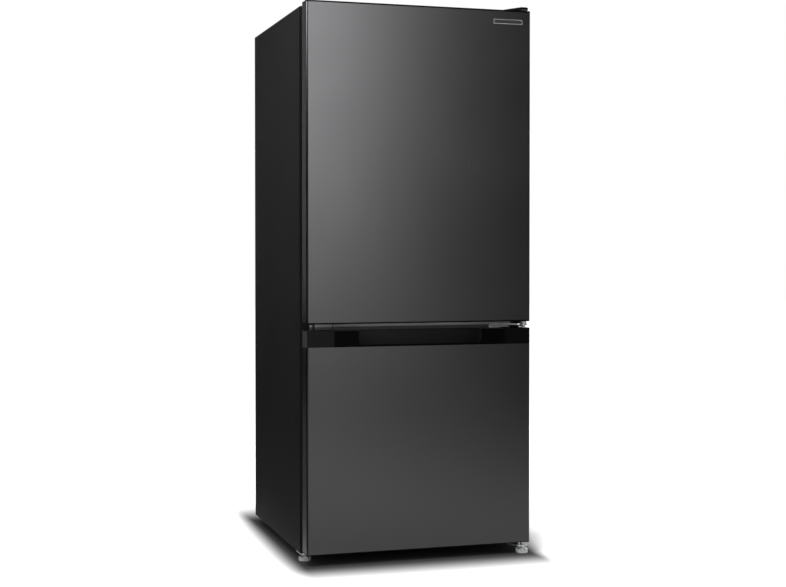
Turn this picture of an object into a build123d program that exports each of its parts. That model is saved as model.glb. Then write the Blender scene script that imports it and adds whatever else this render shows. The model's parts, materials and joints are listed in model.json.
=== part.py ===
from build123d import *
import os
from math import radians, sqrt, tan

os.makedirs("parts", exist_ok=True)

# Bottom freezer refrigerator, in millimetres.
# X runs to the right seen from the front, Y to the back, Z up.
# The origin is on the floor, in the middle of the whole appliance.

# ---- overall sizes ----
cabinet_width = 600
overall_depth = 636  # door fronts to the back of the cabinet
doors_height = 1387  # both doors with the gap between them
freezer_door_height = 562
door_gap = 17
floor_gap = 29  # floor to the bottom edge of the freezer door
cabinet_drop = 8  # cabinet hangs this much lower than the freezer door
cabinet_top_drop = 3  # and ends this much below the top of the upper door

# ---- sheet, walls and clearances ----
wrap_sheet = 1.0  # steel of the outer wrap, bottom and back
wrap_corner = 4  # bend along the two top edges
front_flange = 26  # wrap folded in round the mouth of the cabinet
back_flange = 14
liner_wall = 2
liner_radius = 14
freezer_side_radius = 8  # long edges of the freezer's side walls
fridge_wall = 45  # insulated walls, outside to inside
fridge_back_wall = 50
freezer_wall = 62
slide_gap = 0.3  # under drawers and beside parts that pass each other
pin_fit = 0.08  # radial play of a pin in its hole

# ---- doors ----
door_skin_depth = 50
door_setback = 77.5  # cabinet face behind the door fronts
door_edge_radius = 4.7
door_sheet = 0.8
door_return = 11  # skin folded in behind the door
cap_lip = 2  # end cap that shows past the skin
cap_plug = 14  # part of the end cap inside the skin
cap_wall = 2
panel_rise = 10  # inner panel plateau behind the skin
panel_wall = 3
gasket_inset = 8
gasket_width = 16
gasket_to_face = 0.5  # air between the closed gasket and the cabinet
gasket_to_opening = 4
hinge_from_side = 12
hinge_from_front = 17
pin_radius = 5
pin_reach = 14  # pin inside the door
boss_radius = 9
boss_height = 20

# ---- handle of the freezer door ----
handle_band = 41  # height of the moulded band
pocket_width = 330
pocket_depth = 44
pocket_floor_drop = 34  # scoop goes this much below the band
pocket_lip = 4  # band left in front, under the open notch
pocket_corner = 9
scoop_radius = 15  # along the back of the pocket's floor
pocket_wall = 2.5

# ---- feet, rollers and compressor bay ----
foot_radius = 15.5
foot_wheel = 10
foot_collar = 3
foot_collar_radius = 10.5
foot_stem_radius = 4
foot_from_side = 16
foot_behind_face = 12
bracket_plate = 3
roller_radius = 14
roller_width = 16
roller_from_side = 42
roller_from_back = 32
axle_radius = 4
bay_depth = 205
bay_height = 235
tray_sheet = 2

# ---- inside the refrigerator ----
shelf_count = 3
shelf_setback = 105  # shelf fronts behind the cabinet face
glass = 4
ledge = 8
ledge_height = 10
crisper_height = 170
crisper_side_gap = 23  # crisper drawer to the liner on each side
crisper_headroom = 8  # top of the crisper's room to its glass cover
crisper_front_drop = 4
crisper_rim_drop = 12
grip_depth = 10  # hollow grips on all the drawer fronts
duct_half = 90
duct_depth = 18
housing_half = 130
housing_height = 38
housing_depth = 170
housing_setback = 45

# ---- door bins ----
dyke_depth = 25  # ridge of the inner panel inside the cabinet
dyke_width = 22
dyke_inset = 6  # ridge to the liner walls
bin_wall = 2.5
bin_half_gap = 4  # bin to the ridge on each side
bin_heights = (114, 90, 80)
bin_depths = (119, 99, 99)
bin_rise = 8  # lowest bin above the ridge

# ---- inside the freezer ----
drawer_side_gap = 16  # drawers to the liner on each side
drawer_wall = 2.5
drawer_setback = 40  # drawer fronts behind the cabinet face
drawer_headroom = 8
drawer_rear_gap = 8
runner_reach = 26
runner_height = 6
cover_setback = 68  # evaporator cover in front of the freezer's back wall
fan_drop = 65  # fan's axis below the ceiling
fan_behind_cover = 16
fin_count = 20
coil_passes = 4
tube_radius = 4
fan_radius = 45
blade_count = 5

# ---- derived planes ----
half_width = cabinet_width / 2
front = -overall_depth / 2
back = overall_depth / 2
face = front + door_setback
doors_bottom = floor_gap
doors_top = floor_gap + doors_height
freezer_door_top = doors_bottom + freezer_door_height
upper_door_bottom = freezer_door_top + door_gap
cabinet_bottom = doors_bottom - cabinet_drop
cabinet_top = doors_top - cabinet_top_drop
hinge_x = half_width - hinge_from_side
hinge_y = front + hinge_from_front

seal_zone = gasket_inset + gasket_width + gasket_to_opening
fridge_half = half_width - fridge_wall
fridge_floor = upper_door_bottom + seal_zone
fridge_ceiling = cabinet_top - fridge_wall
fridge_rear = back - fridge_back_wall
freezer_half = half_width - freezer_wall
freezer_floor = doors_bottom + seal_zone
freezer_ceiling = freezer_door_top - seal_zone
freezer_rear = back - freezer_wall
lip_overlap = 8  # liner lip on the rails above and below its mouth
bay_front = back - bay_depth
bay_top = cabinet_bottom + bay_height
step_front = bay_front - freezer_wall
step_top = bay_top + freezer_wall
back_panel_face = back - 2 * wrap_sheet
panel_back = front + door_skin_depth + panel_rise


def upright(y):
    # vertical plane across the appliance that looks to the front
    return Plane.XZ.offset(-y)


def block(x, y, z, mode=Mode.ADD):
    # block between pairs of coordinates
    with Locations((x[0], y[0], z[0])):
        Box(x[1] - x[0], y[1] - y[0], z[1] - z[0], align=(Align.MIN,) * 3, mode=mode)


def post(x, y, z, radius, mode=Mode.ADD):
    # upright round bar between two heights
    with Locations((x, y, z[0])):
        Cylinder(radius, z[1] - z[0], align=(Align.CENTER, Align.CENTER, Align.MIN), mode=mode)


def area(x, z, radius=0, mode=Mode.ADD):
    # rectangle between pairs of coordinates in a sketch
    with Locations(((x[0] + x[1]) / 2, (z[0] + z[1]) / 2)):
        if radius:
            RectangleRounded(x[1] - x[0], z[1] - z[0], radius, mode=mode)
        else:
            Rectangle(x[1] - x[0], z[1] - z[0], mode=mode)


def save(piece, name):
    piece.part.label = name
    export_step(piece.part, f"parts/{name}.step")


# ======== cabinet ========

# Painted steel wrap: one sheet over both sides and the top, folded in at front and back.
with BuildPart() as outer_wrap:
    with BuildSketch(upright(face)) as wrap_section:
        with BuildLine():
            FilletPolyline(
                (-half_width, cabinet_bottom),
                (-half_width, cabinet_top),
                (half_width, cabinet_top),
                (half_width, cabinet_bottom),
                radius=wrap_corner,
            )
            offset(amount=wrap_sheet, side=Side.RIGHT)
        make_face()
    extrude(amount=face - back)
    for fold_y, fold_width in ((face, front_flange), (back - wrap_sheet, back_flange)):
        with BuildSketch(upright(fold_y)) as fold:
            area(
                (-half_width + wrap_sheet, half_width - wrap_sheet),
                (cabinet_bottom, cabinet_top - wrap_sheet),
            )
            area(
                (-half_width + fold_width, half_width - fold_width),
                (cabinet_bottom, cabinet_top - fold_width),
                mode=Mode.SUBTRACT,
            )
        extrude(amount=-wrap_sheet)
save(outer_wrap, "outer_wrap")

# Back panel with two long pressed fields, above the compressor bay.
with BuildPart() as back_panel:
    with BuildSketch(upright(back_panel_face)) as back_sheet:
        area(
            (-half_width + wrap_sheet, half_width - wrap_sheet),
            (bay_top, cabinet_top - wrap_sheet),
        )
        fillet(back_sheet.vertices().group_by(Axis.Y)[-1], wrap_corner)
    extrude(amount=-wrap_sheet)
    field_margin = 40
    field_top = cabinet_top - field_margin
    field_bottom = bay_top + field_margin
    field_middle = (field_top + field_bottom) / 2
    for field in ((field_bottom, field_middle - 20), (field_middle + 20, field_top)):
        with BuildSketch(upright(back_panel_face + wrap_sheet)) as pressed:
            area((-half_width + field_margin, half_width - field_margin), field, radius=18)
        extrude(amount=-wrap_sheet * 0.8, taper=30)
save(back_panel, "back_panel")

# Bottom sheet: front rail, flat bottom, then up and over the compressor bay.
rail_half = half_width - front_flange
with BuildPart() as bottom_panel:
    with BuildSketch(Plane.YZ) as bottom_section:
        with BuildLine():
            Polyline(
                (face + wrap_sheet, cabinet_bottom),
                (bay_front, cabinet_bottom),
                (bay_front, bay_top),
                (back_panel_face, bay_top),
            )
            offset(amount=wrap_sheet, side=Side.LEFT)
        make_face()
    extrude(amount=half_width - wrap_sheet, both=True)
    with BuildSketch(upright(face)) as front_rail:
        area((-rail_half, rail_half), (cabinet_bottom, freezer_floor - lip_overlap))
    extrude(amount=-wrap_sheet)
save(bottom_panel, "bottom_panel")

# Steel rail between the two compartments, a channel open to the back.
rail_depth = 12
with BuildPart() as centre_rail:
    with BuildSketch(Plane.YZ) as rail_section:
        with BuildLine():
            Polyline(
                (face + rail_depth, freezer_ceiling + lip_overlap),
                (face, freezer_ceiling + lip_overlap),
                (face, fridge_floor - lip_overlap),
                (face + rail_depth, fridge_floor - lip_overlap),
            )
            offset(amount=wrap_sheet, side=Side.RIGHT)
        make_face()
    extrude(amount=rail_half, both=True)
save(centre_rail, "centre_rail")

hinge_level = (freezer_door_top + upper_door_bottom) / 2
hinge_flange_half_height = 13
hinge_flange_width = 54
hinge_flange_outer = half_width - 33
hinge_flange_inner = hinge_flange_outer - hinge_flange_width

# Plastic cover on the rail where the hinge goes when the doors are hung on the left.
with BuildPart() as rail_blank_cover:
    with BuildSketch(upright(face)) as cover_outline:
        area(
            (-hinge_flange_outer, -hinge_flange_inner),
            (hinge_level - hinge_flange_half_height, hinge_level + hinge_flange_half_height),
            radius=3,
        )
    extrude(amount=2.5)
    fillet(rail_blank_cover.faces().sort_by(Axis.Y)[0].edges(), 1)
save(rail_blank_cover, "rail_blank_cover")


def fridge_space(grow):
    # room inside the upper liner, or its outside when grown by the wall
    with BuildPart() as space:
        with BuildSketch(upright(face)) as mouth:
            area(
                (-fridge_half - grow, fridge_half + grow),
                (fridge_floor - grow, fridge_ceiling + grow),
                radius=liner_radius + grow,
            )
        extrude(amount=face - fridge_rear - grow)
        fillet(space.faces().sort_by(Axis.Y)[-1].edges(), liner_radius + grow - 2)
    return space.part


def freezer_space(grow):
    # room inside the lower liner, stepped over the compressor bay
    with BuildPart() as space:
        with BuildSketch(Plane.YZ) as side_view:
            with BuildLine():
                Polyline(
                    (face, freezer_floor - grow),
                    (step_front + grow, freezer_floor - grow),
                    (step_front + grow, step_top - grow),
                    (freezer_rear + grow, step_top - grow),
                    (freezer_rear + grow, freezer_ceiling + grow),
                    (face, freezer_ceiling + grow),
                    close=True,
                )
            make_face()
            mouth_corners = side_view.vertices().filter_by_position(Axis.X, face - 1, face + 1)
            fillet(side_view.vertices() - mouth_corners, liner_radius)
        extrude(amount=freezer_half + grow, both=True)
        long_edges = space.faces().filter_by(Axis.X).edges()
        mouth_edges = long_edges.filter_by_position(Axis.Y, face - 1, face + 1)
        fillet(long_edges - mouth_edges, freezer_side_radius)
    return space.part


fridge_room = fridge_space(0)
fridge_form = fridge_space(liner_wall)
freezer_room = freezer_space(0)
freezer_form = freezer_space(liner_wall)

crisper_top = fridge_floor + crisper_height
crisper_cover_level = crisper_top + crisper_headroom
housing_bottom = fridge_ceiling - housing_height
shelf_pitch = (housing_bottom - crisper_cover_level) / (shelf_count + 1)
shelf_levels = [crisper_cover_level + (i + 1) * shelf_pitch for i in range(shelf_count)]
shelf_front = face + shelf_setback
shelf_rear = fridge_rear - duct_depth - 4

# Upper liner with its front lip and the ledges that carry the shelves.
with BuildPart() as fridge_liner:
    add(fridge_form)
    with BuildSketch(upright(face)) as fridge_lip:
        area((-rail_half, rail_half), (fridge_floor - lip_overlap, cabinet_top - front_flange))
    extrude(amount=-liner_wall)
    add(fridge_room, mode=Mode.SUBTRACT)
    for level in [crisper_cover_level] + shelf_levels:
        for side in (-1, 1):
            with BuildSketch(Plane.XY.offset(level - ledge_height)) as ledge_plan:
                with BuildLine():
                    Polyline(
                        (side * (fridge_half + 1), shelf_front + 10),
                        (side * (fridge_half + 1), shelf_rear),
                        (side * (fridge_half - ledge), shelf_rear - 12),
                        (side * (fridge_half - ledge), shelf_front + 22),
                        close=True,
                    )
                make_face()
            extrude(amount=ledge_height)
save(fridge_liner, "fridge_liner")

# Lower liner with its front lip.
with BuildPart() as freezer_liner:
    add(freezer_form)
    with BuildSketch(upright(face)) as freezer_lip:
        area((-rail_half, rail_half), (freezer_floor - lip_overlap, freezer_ceiling + lip_overlap))
    extrude(amount=-liner_wall)
    add(freezer_room, mode=Mode.SUBTRACT)
save(freezer_liner, "freezer_liner")

# Foam that fills the walls between wrap and liners.
with BuildPart() as insulation_foam:
    with BuildSketch(Plane.YZ) as foam_section:
        with BuildLine():
            Polyline(
                (face + liner_wall, cabinet_bottom + wrap_sheet),
                (bay_front - wrap_sheet, cabinet_bottom + wrap_sheet),
                (bay_front - wrap_sheet, bay_top + wrap_sheet),
                (back_panel_face, bay_top + wrap_sheet),
                (back_panel_face, cabinet_top - wrap_corner),
                (face + liner_wall, cabinet_top - wrap_corner),
                close=True,
            )
        make_face()
    extrude(amount=half_width - wrap_sheet, both=True)
    add(fridge_form, mode=Mode.SUBTRACT)
    add(freezer_form, mode=Mode.SUBTRACT)
    block(
        (-rail_half, rail_half),
        (face, face + rail_depth),
        (freezer_ceiling + lip_overlap, fridge_floor - lip_overlap),
        mode=Mode.SUBTRACT,
    )
save(insulation_foam, "insulation_foam")

# ======== refrigerator interior ========


def shelf_pane(level, mode=Mode.ADD):
    # glass of one shelf, held a little above its ledges by the trims
    block(
        (-fridge_half + 3, fridge_half - 3),
        (shelf_front, shelf_rear - 4),
        (level + 1, level + 1 + glass),
        mode=mode,
    )


for number, level in enumerate(shelf_levels, start=1):
    with BuildPart() as glass_shelf:
        shelf_pane(level)
        fillet(glass_shelf.edges().filter_by(Axis.Z), 2)
    save(glass_shelf, f"glass_shelf_{number}")

with BuildPart() as crisper_cover:
    shelf_pane(crisper_cover_level)
    fillet(crisper_cover.edges().filter_by(Axis.Z), 2)
save(crisper_cover, "crisper_cover")

with BuildPart() as shelf_trims:
    for level in [crisper_cover_level] + shelf_levels:
        for y_near, y_far in ((shelf_front - 4, shelf_front + 10), (shelf_rear - 10, shelf_rear)):
            block((-fridge_half + 2, fridge_half - 2), (y_near, y_far), (level, level + glass + 4))
    fillet(shelf_trims.edges().filter_by(Axis.X), 1.5)
    for level in [crisper_cover_level] + shelf_levels:
        shelf_pane(level, mode=Mode.SUBTRACT)
save(shelf_trims, "shelf_trims")

# Air duct on the back wall with rows of outlet slots.
duct_bottom = crisper_cover_level + 30
duct_top = fridge_ceiling - 40
with BuildPart() as fridge_duct:
    with BuildSketch(upright(fridge_rear)) as duct_outline:
        area((-duct_half, duct_half), (duct_bottom, duct_top), radius=20)
    extrude(amount=duct_depth)
    fillet(fridge_duct.faces().sort_by(Axis.Y)[0].edges(), 5)
    slot_rows = shelf_count + 1
    row_pitch = (duct_top - duct_bottom) / slot_rows
    for row in range(slot_rows):
        row_level = duct_bottom + (row + 0.5) * row_pitch
        with BuildSketch(upright(fridge_rear - duct_depth)) as slots:
            with Locations((0, row_level)):
                with GridLocations(0, 14, 1, 2):
                    SlotOverall(2 * duct_half - 50, 6)
        extrude(amount=-6, mode=Mode.SUBTRACT)
save(fridge_duct, "fridge_duct")

# Control housing under the ceiling, with the thermostat knob, lamp and light switch.
housing_front = face + housing_setback
control_level = fridge_ceiling - housing_height / 2
knob_x = -75
knob_radius = 17
knob_depth = 14
knob_shaft_radius = 3
knob_shaft = 10
switch_x = 85
switch_radius = 4
switch_inside = 14
switch_reach = housing_setback - dyke_depth - slide_gap
with BuildPart() as control_housing:
    with BuildSketch(Plane.XY.offset(housing_bottom)) as housing_plan:
        with Locations((0, housing_front + housing_depth / 2)):
            RectangleRounded(2 * housing_half, housing_depth, 16)
    extrude(amount=housing_height)
    fillet(control_housing.faces().sort_by(Axis.Z)[0].edges(), 5)
    with BuildSketch(upright(housing_front)) as housing_holes:
        with Locations((knob_x, control_level)):
            Circle(knob_shaft_radius + pin_fit)
        with Locations((switch_x, control_level)):
            Circle(switch_radius + pin_fit)
    extrude(amount=-(switch_inside + 2), mode=Mode.SUBTRACT)
save(control_housing, "control_housing")

lamp_x = (0, 100)
with BuildPart() as lamp_cover:
    with BuildSketch(Plane.XY.offset(housing_bottom - 8)) as lamp_plan:
        with Locations(((lamp_x[0] + lamp_x[1]) / 2, housing_front + housing_depth / 2)):
            RectangleRounded(lamp_x[1] - lamp_x[0], 110, 8)
    extrude(amount=8)
    fillet(lamp_cover.faces().sort_by(Axis.Z)[0].edges(), 4)
save(lamp_cover, "lamp_cover")

# Thermostat knob: ribbed rim, raised grip bar and its shaft.
with BuildPart() as temperature_knob:
    with BuildSketch(upright(housing_front - slide_gap)) as knob_disc:
        with Locations((knob_x, control_level)):
            Circle(knob_radius)
            with PolarLocations(knob_radius, 16):
                Circle(1.2, mode=Mode.SUBTRACT)
    extrude(amount=knob_depth - 6)
    with BuildSketch(upright(housing_front - slide_gap - knob_depth + 6)) as knob_grip:
        with Locations((knob_x, control_level)):
            SlotOverall(2 * knob_radius - 4, 9, rotation=90)
    extrude(amount=6, taper=4)
    with BuildSketch(upright(housing_front - slide_gap)) as knob_stem:
        with Locations((knob_x, control_level)):
            Circle(knob_shaft_radius)
    extrude(amount=-knob_shaft)
save(temperature_knob, "temperature_knob")

# Light switch plunger, pushed in by the ridge of the closed door.
with BuildPart() as light_switch_plunger:
    with BuildSketch(upright(housing_front - switch_reach)) as plunger_end:
        with Locations((switch_x, control_level)):
            Circle(switch_radius)
    extrude(amount=-(switch_reach + switch_inside))
    fillet(light_switch_plunger.faces().sort_by(Axis.Y)[0].edges(), 1.5)
save(light_switch_plunger, "light_switch_plunger")


def tray(half, y, z, wall, corner, draft, x=0):
    # open box with rounded corners and walls that lean out, and its inside removed
    lean = (z[1] - z[0]) * tan(radians(draft))
    floor_lean = wall * tan(radians(draft))
    middle = (y[0] + y[1]) / 2
    with BuildSketch(Plane.XY.offset(z[0])) as foot_print:
        with Locations((x, middle)):
            RectangleRounded(2 * (half - lean), y[1] - y[0] - 2 * lean, corner)
    extrude(foot_print.sketch, amount=z[1] - z[0], taper=-draft)
    with BuildSketch(Plane.XY.offset(z[0] + wall)) as hollow:
        with Locations((x, middle)):
            inner_half = half - lean - wall + floor_lean
            inner_depth = y[1] - y[0] - 2 * (lean + wall - floor_lean)
            RectangleRounded(2 * inner_half, inner_depth, corner - wall / 2)
    extrude(hollow.sketch, amount=z[1] - z[0] - wall, taper=-draft, mode=Mode.SUBTRACT)


def tray_front(half, y, z, wall, grip_half, grip_height):
    # drawer front whose hollow grip starts at y, open below for the fingers
    plate_y = y + grip_depth
    with BuildSketch(upright(plate_y + wall)) as plate:
        area((-half, half), z, radius=8)
    extrude(plate.sketch, amount=wall)
    grip_bottom = z[1] - grip_height - 10
    with BuildSketch(upright(plate_y)) as grip:
        area((-grip_half, grip_half), (grip_bottom, z[1] - 10), radius=6)
    extrude(grip.sketch, amount=grip_depth)
    with BuildSketch(Plane.XY.offset(grip_bottom)) as finger_room:
        area((-grip_half + 3, grip_half - 3), (y + 3, plate_y))
    extrude(finger_room.sketch, amount=grip_height - 3, mode=Mode.SUBTRACT)


# Crisper drawer on the floor of the upper compartment.
crisper_half = fridge_half - crisper_side_gap
with BuildPart() as crisper_drawer:
    tray(
        crisper_half,
        (shelf_front + grip_depth + drawer_wall - 1, shelf_rear - 6),
        (fridge_floor + slide_gap, crisper_top - crisper_rim_drop),
        drawer_wall,
        corner=14,
        draft=1.5,
    )
    tray_front(
        crisper_half,
        shelf_front,
        (fridge_floor + slide_gap + 3, crisper_top - crisper_front_drop),
        drawer_wall,
        grip_half=70,
        grip_height=22,
    )
save(crisper_drawer, "crisper_drawer")

# ======== freezer interior ========

drawer_front = face + drawer_setback
cover_front = freezer_rear - cover_setback
drawer_half = freezer_half - drawer_side_gap
middle_bottom = step_top + runner_height
upper_bottom = (middle_bottom + freezer_ceiling) / 2
drawer_bottoms = [freezer_floor + runner_height, middle_bottom, upper_bottom]
drawer_tops = [step_top - 12, upper_bottom - drawer_headroom, freezer_ceiling - drawer_headroom]
drawer_rears = [step_front - 10, cover_front - drawer_rear_gap, cover_front - drawer_rear_gap]
drawer_names = ("freezer_drawer_bottom", "freezer_drawer_middle", "freezer_drawer_top")

# Plastic runners snapped on the liner's sides, one pair to a drawer.
with BuildPart() as drawer_runners:
    for bottom, rear in zip(drawer_bottoms, drawer_rears):
        for side in (-1, 1):
            with BuildSketch(Plane.XZ.offset(-(drawer_front + 4))) as runner_section:
                with BuildLine():
                    Polyline(
                        (side * freezer_half, bottom - 1),
                        (side * freezer_half, bottom + 14),
                        (side * (freezer_half - 3), bottom + 14),
                        (side * (freezer_half - 3), bottom),
                        (side * (freezer_half - runner_reach), bottom),
                        (side * (freezer_half - runner_reach), bottom - runner_height),
                        (side * (freezer_half - 10), bottom - runner_height),
                        close=True,
                    )
                make_face()
            extrude(amount=drawer_front + 4 - rear)
    add(freezer_room, mode=Mode.INTERSECT)
save(drawer_runners, "drawer_runners")

for name, bottom, top, rear in zip(drawer_names, drawer_bottoms, drawer_tops, drawer_rears):
    with BuildPart() as freezer_drawer:
        tray(
            drawer_half,
            (drawer_front + grip_depth + drawer_wall, rear),
            (bottom + slide_gap, top - 8),
            drawer_wall,
            corner=12,
            draft=1.5,
        )
        tray_front(
            drawer_half,
            drawer_front,
            (bottom + slide_gap + 2, top),
            drawer_wall + 1,
            grip_half=75,
            grip_height=20,
        )
    save(freezer_drawer, name)

# Cover in front of the evaporator, with fan grille and return slots.
cover_sheet = 3
cover_bottom = step_top + slide_gap
cover_top = freezer_ceiling - slide_gap
cover_half = freezer_half - slide_gap
fan_level = freezer_ceiling - fan_drop
with BuildPart() as evaporator_cover:
    with BuildSketch(upright(cover_front)) as cover_sketch:
        area((-cover_half, cover_half), (cover_bottom, cover_top), radius=freezer_side_radius)
        with Locations((0, fan_level)):
            with GridLocations(0, 14, 1, 6):
                SlotOverall(2 * fan_radius, 7, mode=Mode.SUBTRACT)
        with Locations((0, cover_bottom + 22)):
            with GridLocations(96, 12, 4, 2):
                SlotOverall(80, 5, mode=Mode.SUBTRACT)
    extrude(amount=-cover_sheet)
save(evaporator_cover, "evaporator_cover")

# Evaporator: one tube folded to and fro, pushed into the notches of a row of fins.
motor_radius = 18
coil_half = freezer_half - 43
fin_sheet = 1
fin_depth = 36
fin_margin = 12  # fins past the lowest and highest pass
coil_bottom = step_top + liner_radius + fin_margin + 2
coil_top = fan_level - motor_radius - fin_margin - 6
coil_rise = (coil_top - coil_bottom) / (coil_passes - 1)
coil_y = freezer_rear - slide_gap - fin_depth / 2
fin_pitch = (2 * coil_half - coil_rise - 10) / (fin_count - 1)
with BuildPart() as evaporator:
    with BuildLine() as coil_line:
        corners = []
        for i in range(coil_passes):
            turn = 1 if i % 2 == 0 else -1
            corners.append((-turn * coil_half, coil_y, coil_bottom + i * coil_rise))
            corners.append((turn * coil_half, coil_y, coil_bottom + i * coil_rise))
        FilletPolyline(*corners, radius=coil_rise / 2 - 0.5)
    with BuildSketch(Plane(origin=coil_line.line @ 0, z_dir=coil_line.line % 0)) as tube_section:
        Circle(tube_radius)
    sweep()
    with BuildSketch(Plane.YZ.offset(-(fin_count - 1) * fin_pitch / 2)) as fin:
        area(
            (coil_y - fin_depth / 2, coil_y + fin_depth / 2),
            (coil_bottom - fin_margin, coil_top + fin_margin),
        )
        for i in range(coil_passes):
            notch_middle = coil_bottom + i * coil_rise
            notch_half = tube_radius + slide_gap
            area(
                (coil_y - notch_half, coil_y + fin_depth),
                (notch_middle - notch_half, notch_middle + notch_half),
                mode=Mode.SUBTRACT,
            )
    for i in range(fin_count):
        extrude(fin.sketch.moved(Location((i * fin_pitch, 0, 0))), amount=fin_sheet)
save(evaporator, "evaporator")

# Circulating fan behind the grille, and its motor.
fan_y = cover_front + fan_behind_cover
hub_radius = 13
motor_gap = 3
with BuildPart() as evaporator_fan:
    with BuildSketch(upright(fan_y - 5)) as hub:
        with Locations((0, fan_level)):
            Circle(hub_radius)
    extrude(amount=-10)
    for i in range(blade_count):
        outward = Vector(1, 0, 0).rotate(Axis.Y, i * 360 / blade_count)
        centre = Vector(0, fan_y, fan_level)
        root = Plane(origin=centre + outward * (hub_radius - 2), x_dir=(0, 1, 0), z_dir=outward)
        tip = Plane(origin=centre + outward * (fan_radius - 3), x_dir=(0, 1, 0), z_dir=outward)
        with BuildSketch(root) as blade_root:
            Rectangle(14, 1.6, rotation=50)
        with BuildSketch(tip) as blade_tip:
            Rectangle(26, 1.6, rotation=65)
        loft()
    with BuildSketch(upright(fan_y + 5)) as motor_shaft:
        with Locations((0, fan_level)):
            Circle(2.5)
    extrude(amount=-(motor_gap + 8))
save(evaporator_fan, "evaporator_fan")

with BuildPart() as fan_motor:
    motor_front = fan_y + 5 + motor_gap
    with BuildSketch(upright(motor_front)) as motor_end:
        with Locations((0, fan_level)):
            Circle(motor_radius)
            Circle(2.5 + pin_fit, mode=Mode.SUBTRACT)
    extrude(amount=-16)
    with BuildSketch(upright(motor_front + 12)) as motor_bracket:
        with Locations((0, fan_level)):
            SlotOverall(120, 12)
            Circle(motor_radius - 1, mode=Mode.SUBTRACT)
    extrude(amount=-4)
    for x in (-54, 54):
        with BuildSketch(upright(cover_front + cover_sheet)) as stand_off:
            with Locations((x, fan_level)):
                Circle(4)
        extrude(amount=cover_front + cover_sheet - motor_front - 12)
save(fan_motor, "fan_motor")

# ======== compressor bay, open at the back ========

tray_level = cabinet_bottom + 13
grommet_height = 16
compressor_x = 95
compressor_y = bay_front + bay_depth / 2
compressor_base_level = tray_level + tray_sheet + grommet_height
compressor_height = 140
can_half_length = 72
can_half_width = 64
seam_lip = 4
stand_half_length = 105
stand_half_width = 62
grommet_from_end = 17
grommet_from_side = 14
grommet_dx = stand_half_length - grommet_from_end
grommet_dy = stand_half_width - grommet_from_side
grommet_places = [
    (compressor_x + i * grommet_dx, compressor_y + j * grommet_dy) for i in (-1, 1) for j in (-1, 1)
]

# Steel tray across the bay, with a raised bead and turned-up ends.
with BuildPart() as compressor_base:
    tray_half = half_width - wrap_sheet
    with BuildSketch(Plane.XZ.offset(-(bay_front + 12))) as tray_section:
        with BuildLine():
            Polyline(
                (-tray_half, tray_level + 26),
                (-tray_half, tray_level),
                (tray_half, tray_level),
                (tray_half, tray_level + 26),
            )
            offset(amount=tray_sheet, side=Side.LEFT)
        make_face()
    extrude(amount=-(bay_depth - 18))
    with BuildSketch(Plane.XY.offset(tray_level)) as tray_holes:
        with Locations((-110, compressor_y)):
            with GridLocations(60, 60, 3, 2):
                SlotOverall(34, 8)
    extrude(amount=tray_sheet, mode=Mode.SUBTRACT)
    with BuildSketch(Plane.XY.offset(tray_level + tray_sheet)) as tray_bead:
        with Locations((0, bay_front + 24), (0, back - 24)):
            SlotOverall(2 * tray_half - 60, 8)
    extrude(amount=2, taper=20)
save(compressor_base, "compressor_base")

# Rubber grommets under the compressor's stand, with their necks through it.
with BuildPart() as compressor_grommets:
    for x, y in grommet_places:
        base = tray_level + tray_sheet
        post(x, y, (base, base + grommet_height), 11)
        post(x, y, (base + grommet_height, base + grommet_height + 3), 6)
        post(x, y, (base + grommet_height + 3, base + grommet_height + 8), 9)
save(compressor_grommets, "compressor_grommets")

# Welded compressor can on its stand, with tube stubs and terminal guard.
with BuildPart() as compressor:
    with BuildSketch(Plane.XY.offset(compressor_base_level)) as stand:
        with Locations((compressor_x, compressor_y)):
            RectangleRounded(2 * stand_half_length, 2 * stand_half_width, 14)
        with Locations(*grommet_places):
            Circle(6.2, mode=Mode.SUBTRACT)
    extrude(amount=3)
    can_bottom = compressor_base_level + 3
    with BuildSketch(Plane.XY.offset(can_bottom)) as can_plan:
        with Locations((compressor_x, compressor_y)):
            Ellipse(can_half_length, can_half_width)
    extrude(amount=compressor_height - 3)
    fillet(compressor.faces().sort_by(Axis.Z)[-1].edges(), 30)
    seam_level = can_bottom + compressor_height * 0.55
    with BuildSketch(Plane.XY.offset(seam_level)) as seam:
        with Locations((compressor_x, compressor_y)):
            Ellipse(can_half_length + seam_lip, can_half_width + seam_lip)
    extrude(amount=5)
save(compressor, "compressor")

# Plastic guard over the start relay, with the gland for the mains lead.
relay_x = compressor_x - can_half_length
relay_level = can_bottom + 45
relay_reach = 34  # guard in front of the can's end
relay_half_width = 29
relay_height = 62
gland_radius = 7
gland_bore = 4
with BuildPart() as relay_cover:
    with BuildSketch(Plane.YZ.offset(relay_x - relay_reach)) as relay_outline:
        with Locations((compressor_y, relay_level)):
            RectangleRounded(2 * relay_half_width, relay_height, 8)
    extrude(amount=relay_reach + can_half_length / 2)
    fillet(relay_cover.faces().sort_by(Axis.X)[0].edges(), 4)
    with BuildSketch(upright(compressor_y + relay_half_width - 2)) as gland:
        with Locations((relay_x - 14, relay_level - 18)):
            Circle(gland_radius)
            Circle(gland_bore, mode=Mode.SUBTRACT)
    extrude(amount=-12)
    with BuildSketch(Plane.XY.offset(compressor_base_level)) as can_clear:
        with Locations((compressor_x, compressor_y)):
            Ellipse(can_half_length + slide_gap, can_half_width + slide_gap)
    extrude(amount=compressor_height, mode=Mode.SUBTRACT)
save(relay_cover, "relay_cover")

# Pan that dries the defrost water on top of the compressor.
pan_bottom = compressor_base_level + compressor_height
pan_height = 26
pan_half_length = 88
pan_half_width = 64
with BuildPart() as drain_pan:
    tray(
        pan_half_length,
        (compressor_y - pan_half_width, compressor_y + pan_half_width),
        (pan_bottom, pan_bottom + pan_height),
        wall=2,
        corner=24,
        draft=8,
        x=compressor_x,
    )
save(drain_pan, "drain_pan")

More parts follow.
